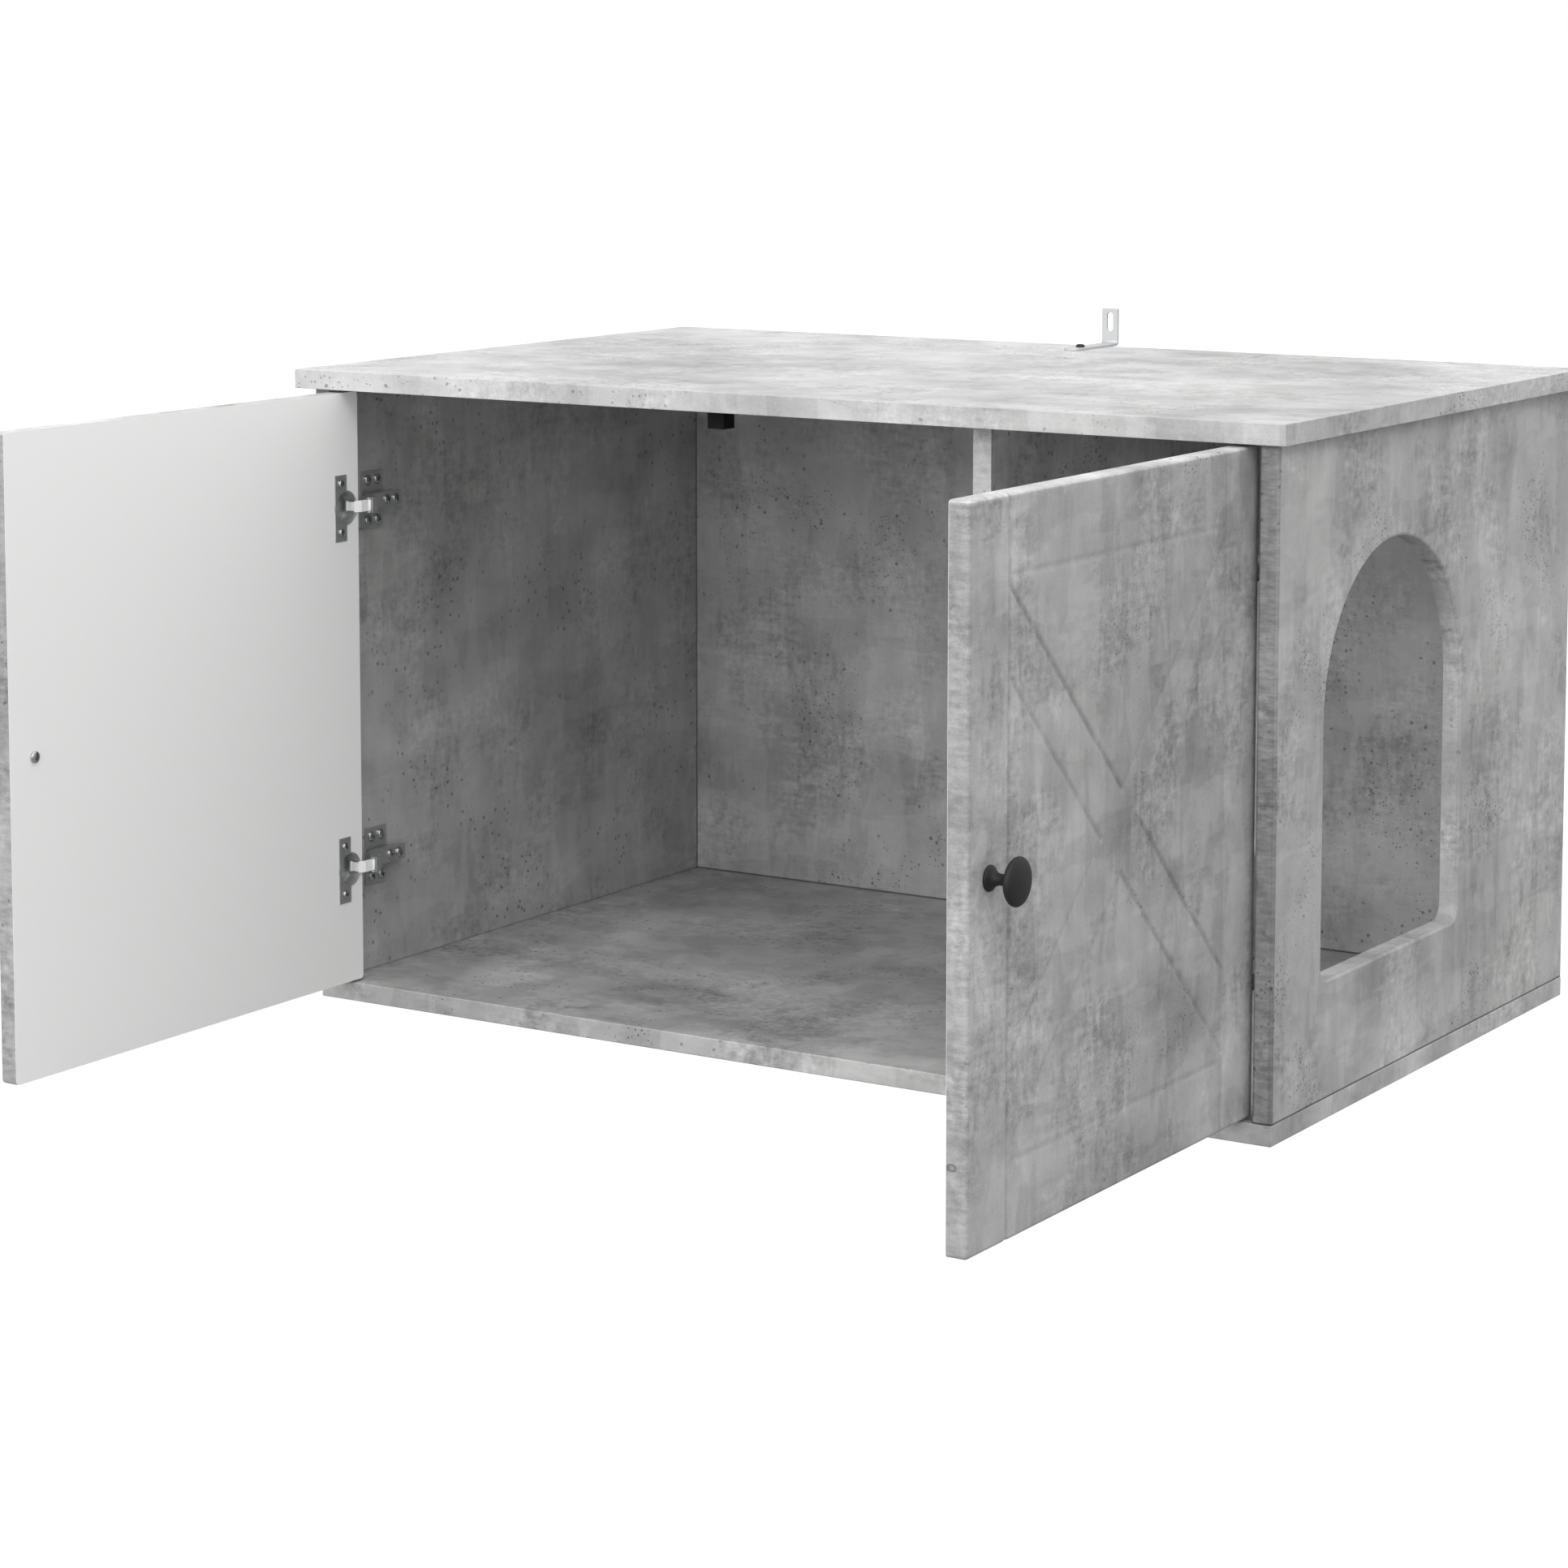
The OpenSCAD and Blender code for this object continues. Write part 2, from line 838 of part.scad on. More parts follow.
module bracket_screw() {
    shank_l = wood_screw_l + bracket_t;
    color(black_paint)
        translate([0, bracket_hole_y, cabinet_h + bracket_t])
            round_head_screw(bracket_screw_head_d, bracket_screw_head_h, wood_screw_d, shank_l);
}

// Doors, drawn closed: the outer face is v = 0

module door_blank() {
    r = door_edge_r;
    from = [door_side_gap, 0, door_z];
    to = [door_free_s, door_t, door_z + door_h];
    upright_s = [from.x + r, to.x - r];
    level_z = [from.z + r, to.z - r];
    union() {
        box([from.x, r, level_z[0]], [to.x, to.y, level_z[1]]);
        box([upright_s[0], r, from.z], [upright_s[1], to.y, to.z]);
        box([upright_s[0], 0, level_z[0]], [upright_s[1], r + cut, level_z[1]]);
        for (s = upright_s) {
            translate([s, r, level_z[0]])
                cylinder(r = r, h = level_z[1] - level_z[0]);
            for (z = level_z) {
                translate([s, r, z])
                    sphere(r);
                from_door(s, r, z)
                    cylinder(r = r, h = door_t - r);
            }
        }
        for (z = level_z)
            from_side(upright_s[0], r, z)
                cylinder(r = r, h = upright_s[1] - upright_s[0]);
    }
}

// Groove of V section in the door's face, from one [s, z] to another
module groove(from, to, depth) {
    half_w_at_top = groove_w / 2 * (depth + cut) / depth;
    translate([from.x, 0, from.y])
        rotate([0, -bearing(from, to), 0])
            rotate([90, 0, 90])
                linear_extrude(norm(to - from))
                    polygon([[depth, 0], [-cut, half_w_at_top], [-cut, -half_w_at_top]]);
}

// Rounds the outside of the corner between two grooves; it is a little smaller than the grooves are
module groove_corner(middle, depth) {
    corner_depth = depth * 0.95;
    r_at_top = groove_w / 2 * (corner_depth + cut) / depth;
    translate([middle.x, corner_depth, middle.y])
        rotate([90, 0, 0])
            cylinder(r1 = 0, r2 = r_at_top, h = corner_depth + cut);
}

// Two upright grooves over the whole height, two level ones between them, and the edges of two crossed
// braces. The level and sloping grooves are shallower, so they end inside the upright ones.
module door_grooves() {
    field = [door_w / 2 - frame_w, door_h / 2 - frame_w];
    brace_half = brace_w / sqrt(2);
    rise = min(field.x, field.y - brace_half);
    reach = min(field.x - brace_half, field.y);
    depth = rail_groove_depth;
    for (side = [-1, 1]) {
        s = door_mid.x + side * field.x;
        groove([s, door_z - cut], [s, door_z + door_h + cut], groove_depth);
    }
    for (end = [-1, 1]) {
        z = door_mid.y + end * field.y;
        groove([door_mid.x - field.x, z], [door_mid.x + field.x, z], depth);
    }
    for (b = [-1, 1]) {
        over = door_mid + [0, b * brace_half];
        beside = door_mid + [b * brace_half, 0];
        groove_corner(over, depth);
        groove_corner(beside, depth);
        for (a = [-1, 1]) {
            groove(over, over + rise * [a, b], depth);
            groove(beside, beside + reach * [b, a], depth);
        }
    }
}

module cup_screw_sites(z) {
    for (side = [-1, 1])
        from_door(flange_s, door_t, z + side * cup_screw_pitch / 2)
            children();
}

module door_holes() {
    for (z = hinge_zs) {
        from_door(cup_s, door_t, z)
            hole(2 * (cup_r + hole_clear), cup_depth + hole_clear);
        cup_screw_sites(z)
            wood_screw_hole(flange_t);
    }
    from_door(knob_s, door_t, door_mid.y)
        hole(knob_screw_d + 2 * knob_hole_clear, door_t + cut);
}

module door() {
    difference() {
        door_blank();
        door_grooves();
        door_holes();
    }
}

// Knobs

// Half outline of a knob: foot, hollowed neck, bowl, rim and dome
module knob_outline() {
    foot_r = knob_foot_d / 2;
    neck_r = knob_neck_d / 2;
    head_r = knob_d / 2;
    foot_step = foot_r - knob_edge_r - neck_r;
    neck_rise = knob_neck_l - knob_foot_h;
    bowl_step = knob_bowl_r - neck_r;
    bowl_rise = knob_bowl_l - knob_neck_l;
    dome_h = knob_l - knob_rim_l;
    polygon(concat(
        [[0, 0], [foot_r - knob_edge_r, 0], [foot_r, knob_edge_r], [foot_r, knob_foot_h - knob_edge_r]],
        [for (a = [0:15:90]) [neck_r + foot_step * (1 - sin(a)), knob_foot_h + neck_rise * (1 - cos(a))]],
        [for (a = [15:15:90]) [neck_r + bowl_step * (1 - cos(a)), knob_neck_l + bowl_rise * sin(a)]],
        [for (a = [0:10:80]) [head_r * cos(a), knob_rim_l + dome_h * sin(a)]],
        [[0, knob_l]]
    ));
}

module knob() {
    bore_l = knob_screw_reach + cut;
    from_door(knob_s, 0, door_mid.y)
        mirror([0, 0, 1])
            rotate_extrude($fn = fine_fn)
                difference() {
                    knob_outline();
                    translate([-cut, -cut])
                        square([knob_screw_d / 2 + hole_clear + cut, bore_l + cut]);
                }
}

module knob_screw() {
    from_door(knob_s, door_t, door_mid.y)
        round_head_screw(knob_screw_head_d, knob_screw_head_h, knob_screw_d, door_t + knob_screw_reach);
}

// Hinges

// Cup pressed into the door, with its flange on the door's inner face
module hinge_cup(z) {
    difference() {
        union() {
            from_door(cup_s, door_t - cup_depth, z)
                cylinder(r = cup_r, h = cup_depth + flange_t / 2);
            from_door(cup_s, door_t, z)
                cylinder(r = cup_r + cup_rim_over, h = flange_t);
            translate([flange_s - flange_w / 2, door_t, z - flange_l / 2])
                cube([flange_w, flange_t, flange_l]);
        }
        from_door(cup_s, door_t, z)
            hole(2 * (cup_r - cup_wall), cup_depth - cup_wall);
        cup_screw_sites(z)
            hole(wood_screw_d + 2 * hole_clear, cut);
    }
}

module cup_screws() {
    for (z = hinge_zs)
        cup_screw_sites(z)
            translate([0, 0, flange_t])
                wood_screw();
}

// Mounting plate: two wings on the side panel and a rib that carries the arm
module hinge_plate(z) {
    half_h = plate_h / 2;
    half_rib = plate_rib_w / 2;
    difference() {
        union() {
            box([0, plate_front_v, z - half_h], [plate_t, plate_back_v, z + half_h]);
            box([0, plate_front_v, z - half_rib], [plate_rib_s, plate_rib_back_v, z + half_rib]);
        }
        plate_screw_sites()
            hole(wood_screw_d + 2 * hole_clear, plate_t + cut);
        for (v = arm_screw_vs)
            from_side(arm_stand_off, v, z)
                hole(arm_screw_d + 2 * hole_clear, arm_screw_l + hole_clear);
    }
}

module plate_screws() {
    plate_screw_sites()
        wood_screw();
}

// Outer wall of the arm, seen from above
module arm_web_outline() {
    s = arm_stand_off;
    polygon([
        [s - arm_t, arm_back_v],
        [s, arm_back_v],
        [s, arm_crank_v],
        [arm_web_s, arm_shoulder_v],
        [arm_web_s, arm_pin.y],
        [arm_web_s - arm_t, arm_pin.y],
        [arm_web_s - arm_t, arm_shoulder_v - arm_t / 2],
        [s - arm_t, arm_crank_v - arm_t / 2],
    ]);
}

// Upper or lower wall of the arm, seen from above
module arm_cheek_outline() {
    union() {
        polygon([
            [arm_cheek_s, arm_cheek_back_v],
            [arm_stand_off, arm_back_v],
            [arm_stand_off, arm_crank_v],
            [arm_web_s, arm_shoulder_v],
            [arm_web_s, arm_pin.y],
            [arm_pin.x - arm_nose_r, arm_pin.y],
            [arm_cheek_s, arm_crank_v],
        ]);
        translate(arm_pin)
            circle(arm_nose_r);
    }
}

module hinge_arm(z) {
    cheek_z = (arm_h - arm_t) / 2;
    difference() {
        translate([0, 0, z]) {
            linear_extrude(arm_h, center = true)
                arm_web_outline();
            for (side = [-1, 1])
                translate([0, 0, side * cheek_z])
                    linear_extrude(arm_t, center = true)
                        arm_cheek_outline();
        }
        translate([arm_pin.x, arm_pin.y, z - arm_h])
            cylinder(d = pin_d + 2 * hole_clear, h = 2 * arm_h);
        for (v = arm_screw_vs)
            from_side(arm_stand_off, v, z)
                hole(arm_screw_d + 2 * hole_clear, arm_t + cut);
    }
}

module arm_screws() {
    for (z = hinge_zs, v = arm_screw_vs)
        from_side(arm_stand_off, v, z)
            round_head_screw(arm_screw_head_d, arm_screw_head_h, arm_screw_d, arm_screw_l);
}

module arm_pins() {
    for (z = hinge_zs)
        translate([arm_pin.x, arm_pin.y, z - arm_h / 2])
            cylinder(d = pin_d, h = arm_h);
}

// Unit vector to the left of the way from one point to another
function left_of(from, to) = [from.y - to.y, to.x - from.x] / norm(to - from);

// Corner of a bent strip, at a distance to the left of its middle line
function strip_corner(points, i, distance) =
    let (last = len(points) - 1)
    let (before = left_of(points[max(i - 1, 0)], points[max(i, 1)]))
    let (after = left_of(points[min(i, last - 1)], points[min(i + 1, last)]))
    points[i] + distance * (before + after) / (1 + before * after);

// Bent strip of sheet metal along a middle line
module strip_outline(points, thickness) {
    last = len(points) - 1;
    polygon(concat(
        [for (i = [0:last]) strip_corner(points, i, thickness / 2)],
        [for (i = [last:-1:0]) strip_corner(points, i, -thickness / 2)]
    ));
}

// Link between the arm's pin and the cup; its cup pin turns in the cup without a bearing of its own
module hinge_link(z) {
    translate([0, 0, z])
        difference() {
            union() {
                difference() {
                    linear_extrude(link_w, center = true)
                        strip_outline([arm_pin, link_bend, link_knee, cup_pin], link_t);
                    for (side = [-1, 1])
                        translate([link_knee.x - link_w, link_knee.y, side * (link_cup_w + link_w) / 2])
                            cube([2 * link_w, 2 * link_w, link_w], center = true);
                }
                translate(arm_pin)
                    cylinder(r = link_eye_r, h = link_w, center = true);
                translate(cup_pin) {
                    cylinder(r = link_cup_eye_r, h = link_cup_w, center = true);
                    cylinder(d = pin_d, h = link_cup_w + 2 * cup_pin_over, center = true);
                }
            }
            translate(arm_pin)
                cylinder(d = pin_d + 2 * pin_clear, h = 2 * link_w, center = true);
        }
}

// Nodes of the left side

module left_door() { color(concrete) left_side() swung_open() door(); }
module left_knob() { color(black_paint) left_side() swung_open() knob(); }
module left_knob_screw() { color(zinc) left_side() swung_open() knob_screw(); }
module left_upper_hinge_cup() { color(zinc) left_side() swung_open() hinge_cup(upper_hinge_z); }
module left_lower_hinge_cup() { color(zinc) left_side() swung_open() hinge_cup(lower_hinge_z); }
module left_cup_screws() { color(zinc) left_side() swung_open() cup_screws(); }
module left_upper_hinge_plate() { color(zinc) left_side() hinge_plate(upper_hinge_z); }
module left_lower_hinge_plate() { color(zinc) left_side() hinge_plate(lower_hinge_z); }
module left_plate_screws() { color(zinc) left_side() plate_screws(); }
module left_upper_hinge_arm() { color(zinc) left_side() hinge_arm(upper_hinge_z); }
module left_lower_hinge_arm() { color(zinc) left_side() hinge_arm(lower_hinge_z); }
module left_arm_screws() { color(zinc) left_side() arm_screws(); }
module left_arm_pins() { color(zinc) left_side() arm_pins(); }
module left_upper_hinge_link() { color(bright_steel) left_side() link_turned() hinge_link(upper_hinge_z); }
module left_lower_hinge_link() { color(bright_steel) left_side() link_turned() hinge_link(lower_hinge_z); }

// Nodes of the right side

module right_door() { color(concrete) right_side() swung_open() door(); }
module right_knob() { color(black_paint) right_side() swung_open() knob(); }
module right_knob_screw() { color(zinc) right_side() swung_open() knob_screw(); }
module right_upper_hinge_cup() { color(zinc) right_side() swung_open() hinge_cup(upper_hinge_z); }
module right_lower_hinge_cup() { color(zinc) right_side() swung_open() hinge_cup(lower_hinge_z); }
module right_cup_screws() { color(zinc) right_side() swung_open() cup_screws(); }
module right_upper_hinge_plate() { color(zinc) right_side() hinge_plate(upper_hinge_z); }
module right_lower_hinge_plate() { color(zinc) right_side() hinge_plate(lower_hinge_z); }
module right_plate_screws() { color(zinc) right_side() plate_screws(); }
module right_upper_hinge_arm() { color(zinc) right_side() hinge_arm(upper_hinge_z); }
module right_lower_hinge_arm() { color(zinc) right_side() hinge_arm(lower_hinge_z); }
module right_arm_screws() { color(zinc) right_side() arm_screws(); }
module right_arm_pins() { color(zinc) right_side() arm_pins(); }
module right_upper_hinge_link() { color(bright_steel) right_side() link_turned() hinge_link(upper_hinge_z); }
module right_lower_hinge_link() { color(bright_steel) right_side() link_turned() hinge_link(lower_hinge_z); }

top_panel();
bottom_panel();
left_side_panel();
right_side_panel();
back_panel();
divider_panel();
panel_dowels();
floor_screws();
cam_bolts();
cam_discs();
door_stop();
door_stop_screw();
wall_bracket();
bracket_screw();
left_door();
left_knob();
left_knob_screw();
left_upper_hinge_cup();
left_lower_hinge_cup();
left_cup_screws();
left_upper_hinge_plate();
left_lower_hinge_plate();
left_plate_screws();
left_upper_hinge_arm();
left_lower_hinge_arm();
left_arm_screws();
left_arm_pins();
left_upper_hinge_link();
left_lower_hinge_link();
right_door();
right_knob();
right_knob_screw();
right_upper_hinge_cup();
right_lower_hinge_cup();
right_cup_screws();
right_upper_hinge_plate();
right_lower_hinge_plate();
right_plate_screws();
right_upper_hinge_arm();
right_lower_hinge_arm();
right_arm_screws();
right_arm_pins();
right_upper_hinge_link();
right_lower_hinge_link();
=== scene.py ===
"""Looks of the cat house: boards, doors, hinges, knobs, stop and wall bracket, with studio and camera."""
import sys
import logging
import math
from dataclasses import dataclass, field, replace
from enum import Enum
from functools import cached_property
from typing import Callable, Iterable, Optional, Sequence, Union

import bmesh
import bpy
from bpy.types import ID, Material, Mesh, Node, NodeSocket, NodeTree, Object
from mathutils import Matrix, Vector
from mathutils.geometry import delaunay_2d_cdt


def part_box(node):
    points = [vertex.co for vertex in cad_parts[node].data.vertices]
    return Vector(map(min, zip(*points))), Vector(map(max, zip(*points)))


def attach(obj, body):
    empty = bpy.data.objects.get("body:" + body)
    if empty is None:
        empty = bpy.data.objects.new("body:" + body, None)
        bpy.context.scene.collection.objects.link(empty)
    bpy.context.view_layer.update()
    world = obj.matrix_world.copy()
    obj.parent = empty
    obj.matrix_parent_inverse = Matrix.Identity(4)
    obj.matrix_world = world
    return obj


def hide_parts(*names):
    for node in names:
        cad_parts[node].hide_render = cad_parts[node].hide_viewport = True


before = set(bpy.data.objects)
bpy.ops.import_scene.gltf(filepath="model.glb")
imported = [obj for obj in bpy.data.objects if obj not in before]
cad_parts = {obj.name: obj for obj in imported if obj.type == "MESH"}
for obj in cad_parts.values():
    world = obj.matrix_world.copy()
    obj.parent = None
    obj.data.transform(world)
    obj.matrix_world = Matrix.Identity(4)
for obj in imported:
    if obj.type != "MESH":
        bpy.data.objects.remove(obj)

log = logging.getLogger("cat_house")

# The mesh attribute that carries the painted shade in a door's grooves.
PAINTED_GROOVE_SHADE = "groove_shade"
MM = 0.001
# Half of the inner width, and the front plane of the closed doors, in millimetres.
INNER_X = 400.0
FRONT_Y = -265.0
# Points this close in a mesh's own unit are one, as are faces this level. Edges this sharp are rounded.
SAME_PLACE = 1e-6
SAME_PLANE = math.radians(0.5)
ROUNDED_FROM = math.radians(60.0)

Colour = tuple[float, float, float]
Pair = tuple[float, float]
Key = Union[int, str]
Value = Union["Signal", float, Sequence[float]]
Inputs = Optional[dict[Key, object]]


class Grain(Enum):
    """The way a pattern in the print runs, as its squeeze along each axis."""

    UPRIGHT = (1.0, 1.0, 0.14)
    ALONG_WIDTH = (0.14, 1.0, 1.0)
    SHORT_UPRIGHT = (1.0, 1.0, 0.3)
    SHORT_LEVEL = (0.3, 0.3, 1.0)


class Named(Enum):
    """A choice whose name is a word in the names of the nodes."""

    @property
    def word(self) -> str:
        """The word."""
        return self.name.lower()


class Hand(Named):
    """The side of the cabinet that a door and its fittings stand on."""

    LEFT = -1
    RIGHT = 1


class Level(Named):
    """The height of a hinge's middle, in millimetres above the floor."""

    LOWER = 107.0
    UPPER = 393.0


class NodeMaker:
    """Makes and links the nodes of one tree."""

    def __init__(self, tree: NodeTree) -> None:
        """Takes the tree."""
        self.tree = tree

    @staticmethod
    def find(sockets: Sequence[NodeSocket], key: Key) -> NodeSocket:
        """Finds one socket of a node.

        Args:
            sockets: The node's inputs or outputs.
            key: The socket's place, identifier or name.

        Returns:
            The socket.
        """
        if isinstance(key, int):
            return sockets[key]
        return next(s for s in sockets if s.enabled and key in (s.identifier, s.name))

    def node(self, kind: str, inputs: Inputs = None, **settings: object) -> Node:
        """Makes one node.

        Args:
            kind: The node's type.
            inputs: Its inputs by place, identifier or name, each a signal, a socket or a value.
            settings: Its properties, which are set first.

        Returns:
            The node.
        """
        made = self.tree.nodes.new(kind)
        for key, value in settings.items():
            setattr(made, key, value)
        for key, value in (inputs or {}).items():
            socket = self.find(made.inputs, key)
            source = value.socket if isinstance(value, Signal) else value
            if isinstance(source, NodeSocket):
                self.tree.links.new(source, socket)
            elif socket.type == "RGBA":
                socket.default_value = (*source, 1.0)
            else:
                socket.default_value = source
        return made

    def output(self, kind: str, inputs: Inputs = None, output: Key = 0, **settings: object) -> NodeSocket:
        """Makes one node and gives one of its outputs, by place, identifier or name."""
        return self.find(self.node(kind, inputs, **settings).outputs, output)


class Signal:
    """One output socket of a material, which plain arithmetic can be done with."""

    def __init__(self, tree: "FinishTree", socket: NodeSocket) -> None:
        """Wraps a socket of the material's tree."""
        self.tree = tree
        self.socket = socket

    def _math(self, operation: str, first: Value, second: Value) -> "Signal":
        """Makes one Math node."""
        return self.tree.signal("ShaderNodeMath", {0: first, 1: second}, operation=operation)

    def __add__(self, other: Value) -> "Signal":
        """Adds."""
        return self._math("ADD", self, other)

    def __sub__(self, other: Value) -> "Signal":
        """Takes away."""
        return self._math("SUBTRACT", self, other)

    def __rsub__(self, other: Value) -> "Signal":
        """Takes this away from the other."""
        return self._math("SUBTRACT", other, self)

    def __mul__(self, other: Value) -> "Signal":
        """Multiplies."""
        return self._math("MULTIPLY", self, other)

    __radd__ = __add__
    __rmul__ = __mul__

    def least(self, other: Value) -> "Signal":
        """The smaller of the two."""
        return self._math("MINIMUM", self, other)

    def most(self, other: Value) -> "Signal":
        """The larger of the two."""
        return self._math("MAXIMUM", self, other)

    def above(self, limit: float) -> "Signal":
        """One where this is above the limit, and nought elsewhere."""
        return self._math("GREATER_THAN", self, limit)

    def ease(self, low: float, high: float, start: float = 0.0, end: float = 1.0) -> "Signal":
        """Turns what is up to low into start and what is from high into end, with a soft way between."""
        limits = {"From Min": low, "From Max": high, "To Min": start, "To Max": end}
        return self.tree.signal("ShaderNodeMapRange", {"Value": self, **limits},
                                interpolation_type="SMOOTHSTEP")


class FinishTree(NodeMaker):
    """The node tree of one material."""

    def __init__(self, name: str) -> None:
        """Makes an empty material.

        Args:
            name: The material's name.
        """
        self.material = bpy.data.materials.new(name)
        self.material.use_nodes = True
        super().__init__(self.material.node_tree)
        self.tree.nodes.clear()

    def signal(self, kind: str, inputs: Inputs = None, output: Key = 0, **settings: object) -> Signal:
        """Makes one node and gives one of its outputs, ready for arithmetic."""
        return Signal(self, self.output(kind, inputs, output, **settings))

    def place(self, shift: Colour = (0.0, 0.0, 0.0), stretch: Colour = (1.0, 1.0, 1.0)) -> Signal:
        """The place on the piece in metres, stretched on each axis and then moved."""
        spot = self.signal("ShaderNodeTexCoord", output="Object")
        return self.signal("ShaderNodeMapping", {"Vector": spot, "Location": shift, "Scale": stretch})

    def noise(self, place: Signal, scale: float, detail: float = 3.0, roughness: float = 0.55,
              distortion: float = 0.0) -> Signal:
        """A smooth random pattern around one half, of so many spots in a metre and so many finer layers."""
        return self.signal("ShaderNodeTexNoise", {
            "Vector": place, "Scale": scale, "Detail": detail, "Roughness": roughness,
            "Distortion": distortion})

    def cells(self, place: Signal, scale: float) -> tuple[Signal, Signal]:
        """Gives random round cells.

        Args:
            place: The place on the piece.
            scale: The number of cells in a metre.

        Returns:
            The distance from the cell's middle, and a number of the cell's own.
        """
        made = self.node("ShaderNodeTexVoronoi", {"Vector": place, "Scale": scale}, distance="EUCLIDEAN")
        own = self.signal("ShaderNodeSeparateColor", {0: made.outputs["Color"]})
        return Signal(self, made.outputs["Distance"]), own

    def warp(self, place: Signal, scale: float, reach: float) -> Signal:
        """Moves a place about at random, by up to a reach in metres, with so many swirls in a metre."""
        swirl = self.signal("ShaderNodeTexNoise", {"Vector": place, "Scale": scale, "Detail": 2.0}, "Color")
        return self.signal("ShaderNodeVectorMath", {0: swirl, 1: (reach, reach, reach), 2: place},
                           operation="MULTIPLY_ADD")

    def blend(self, share: Value, first: Value, second: Value) -> Signal:
        """Mixes two colours by the share of the second."""
        return self.signal("ShaderNodeMix", {"Factor_Float": share, "A_Color": first, "B_Color": second},
                           "Result_Color", data_type="RGBA")

    def tint(self, colour: Value, shade: Value) -> Signal:
        """Makes a colour lighter or darker by a factor."""
        return self.signal("ShaderNodeVectorMath", {0: colour, "Scale": shade}, operation="SCALE")

    def bump(self, height: Signal, distance: float) -> Signal:
        """Turns a height from nought to one into a surface direction, where one is a distance in metres."""
        return self.signal("ShaderNodeBump", {"Height": height, "Distance": distance, "Strength": 1.0})

    def finish(self, **inputs: Value) -> Material:
        """Ends the material in the standard surface shader.

        Args:
            inputs: The shader's inputs, with a low line for each blank in their names.

        Returns:
            The material.
        """
        named = {key.replace("_", " "): value for key, value in inputs.items()}
        self.node("ShaderNodeOutputMaterial", {"Surface": self.signal("ShaderNodeBsdfPrincipled", named)})
        return self.material


@dataclass(frozen=True)
class Lining:
    """The plain white face of a door, which begins at a plane across X, in metres."""

    plane: float
    hand: Hand
    colour: Colour = (0.94, 0.94, 0.935)
    roughness: float = 0.42


@dataclass(frozen=True)
class Strip:
    """A narrow edge of a board, beyond a plane across one axis in metres, with short level strokes, whose
    tone mostly paints light or shade there.
    """

    axis: str
    plane: float
    side: int
    tone: float
    stroke: float = 0.7


@dataclass(frozen=True)
class Knot:
    """A small dark oval ring in the print, round a line along Y, in metres."""

    middle: Pair
    half_size: Pair = (0.0034, 0.0026)
    depth: float = 0.5


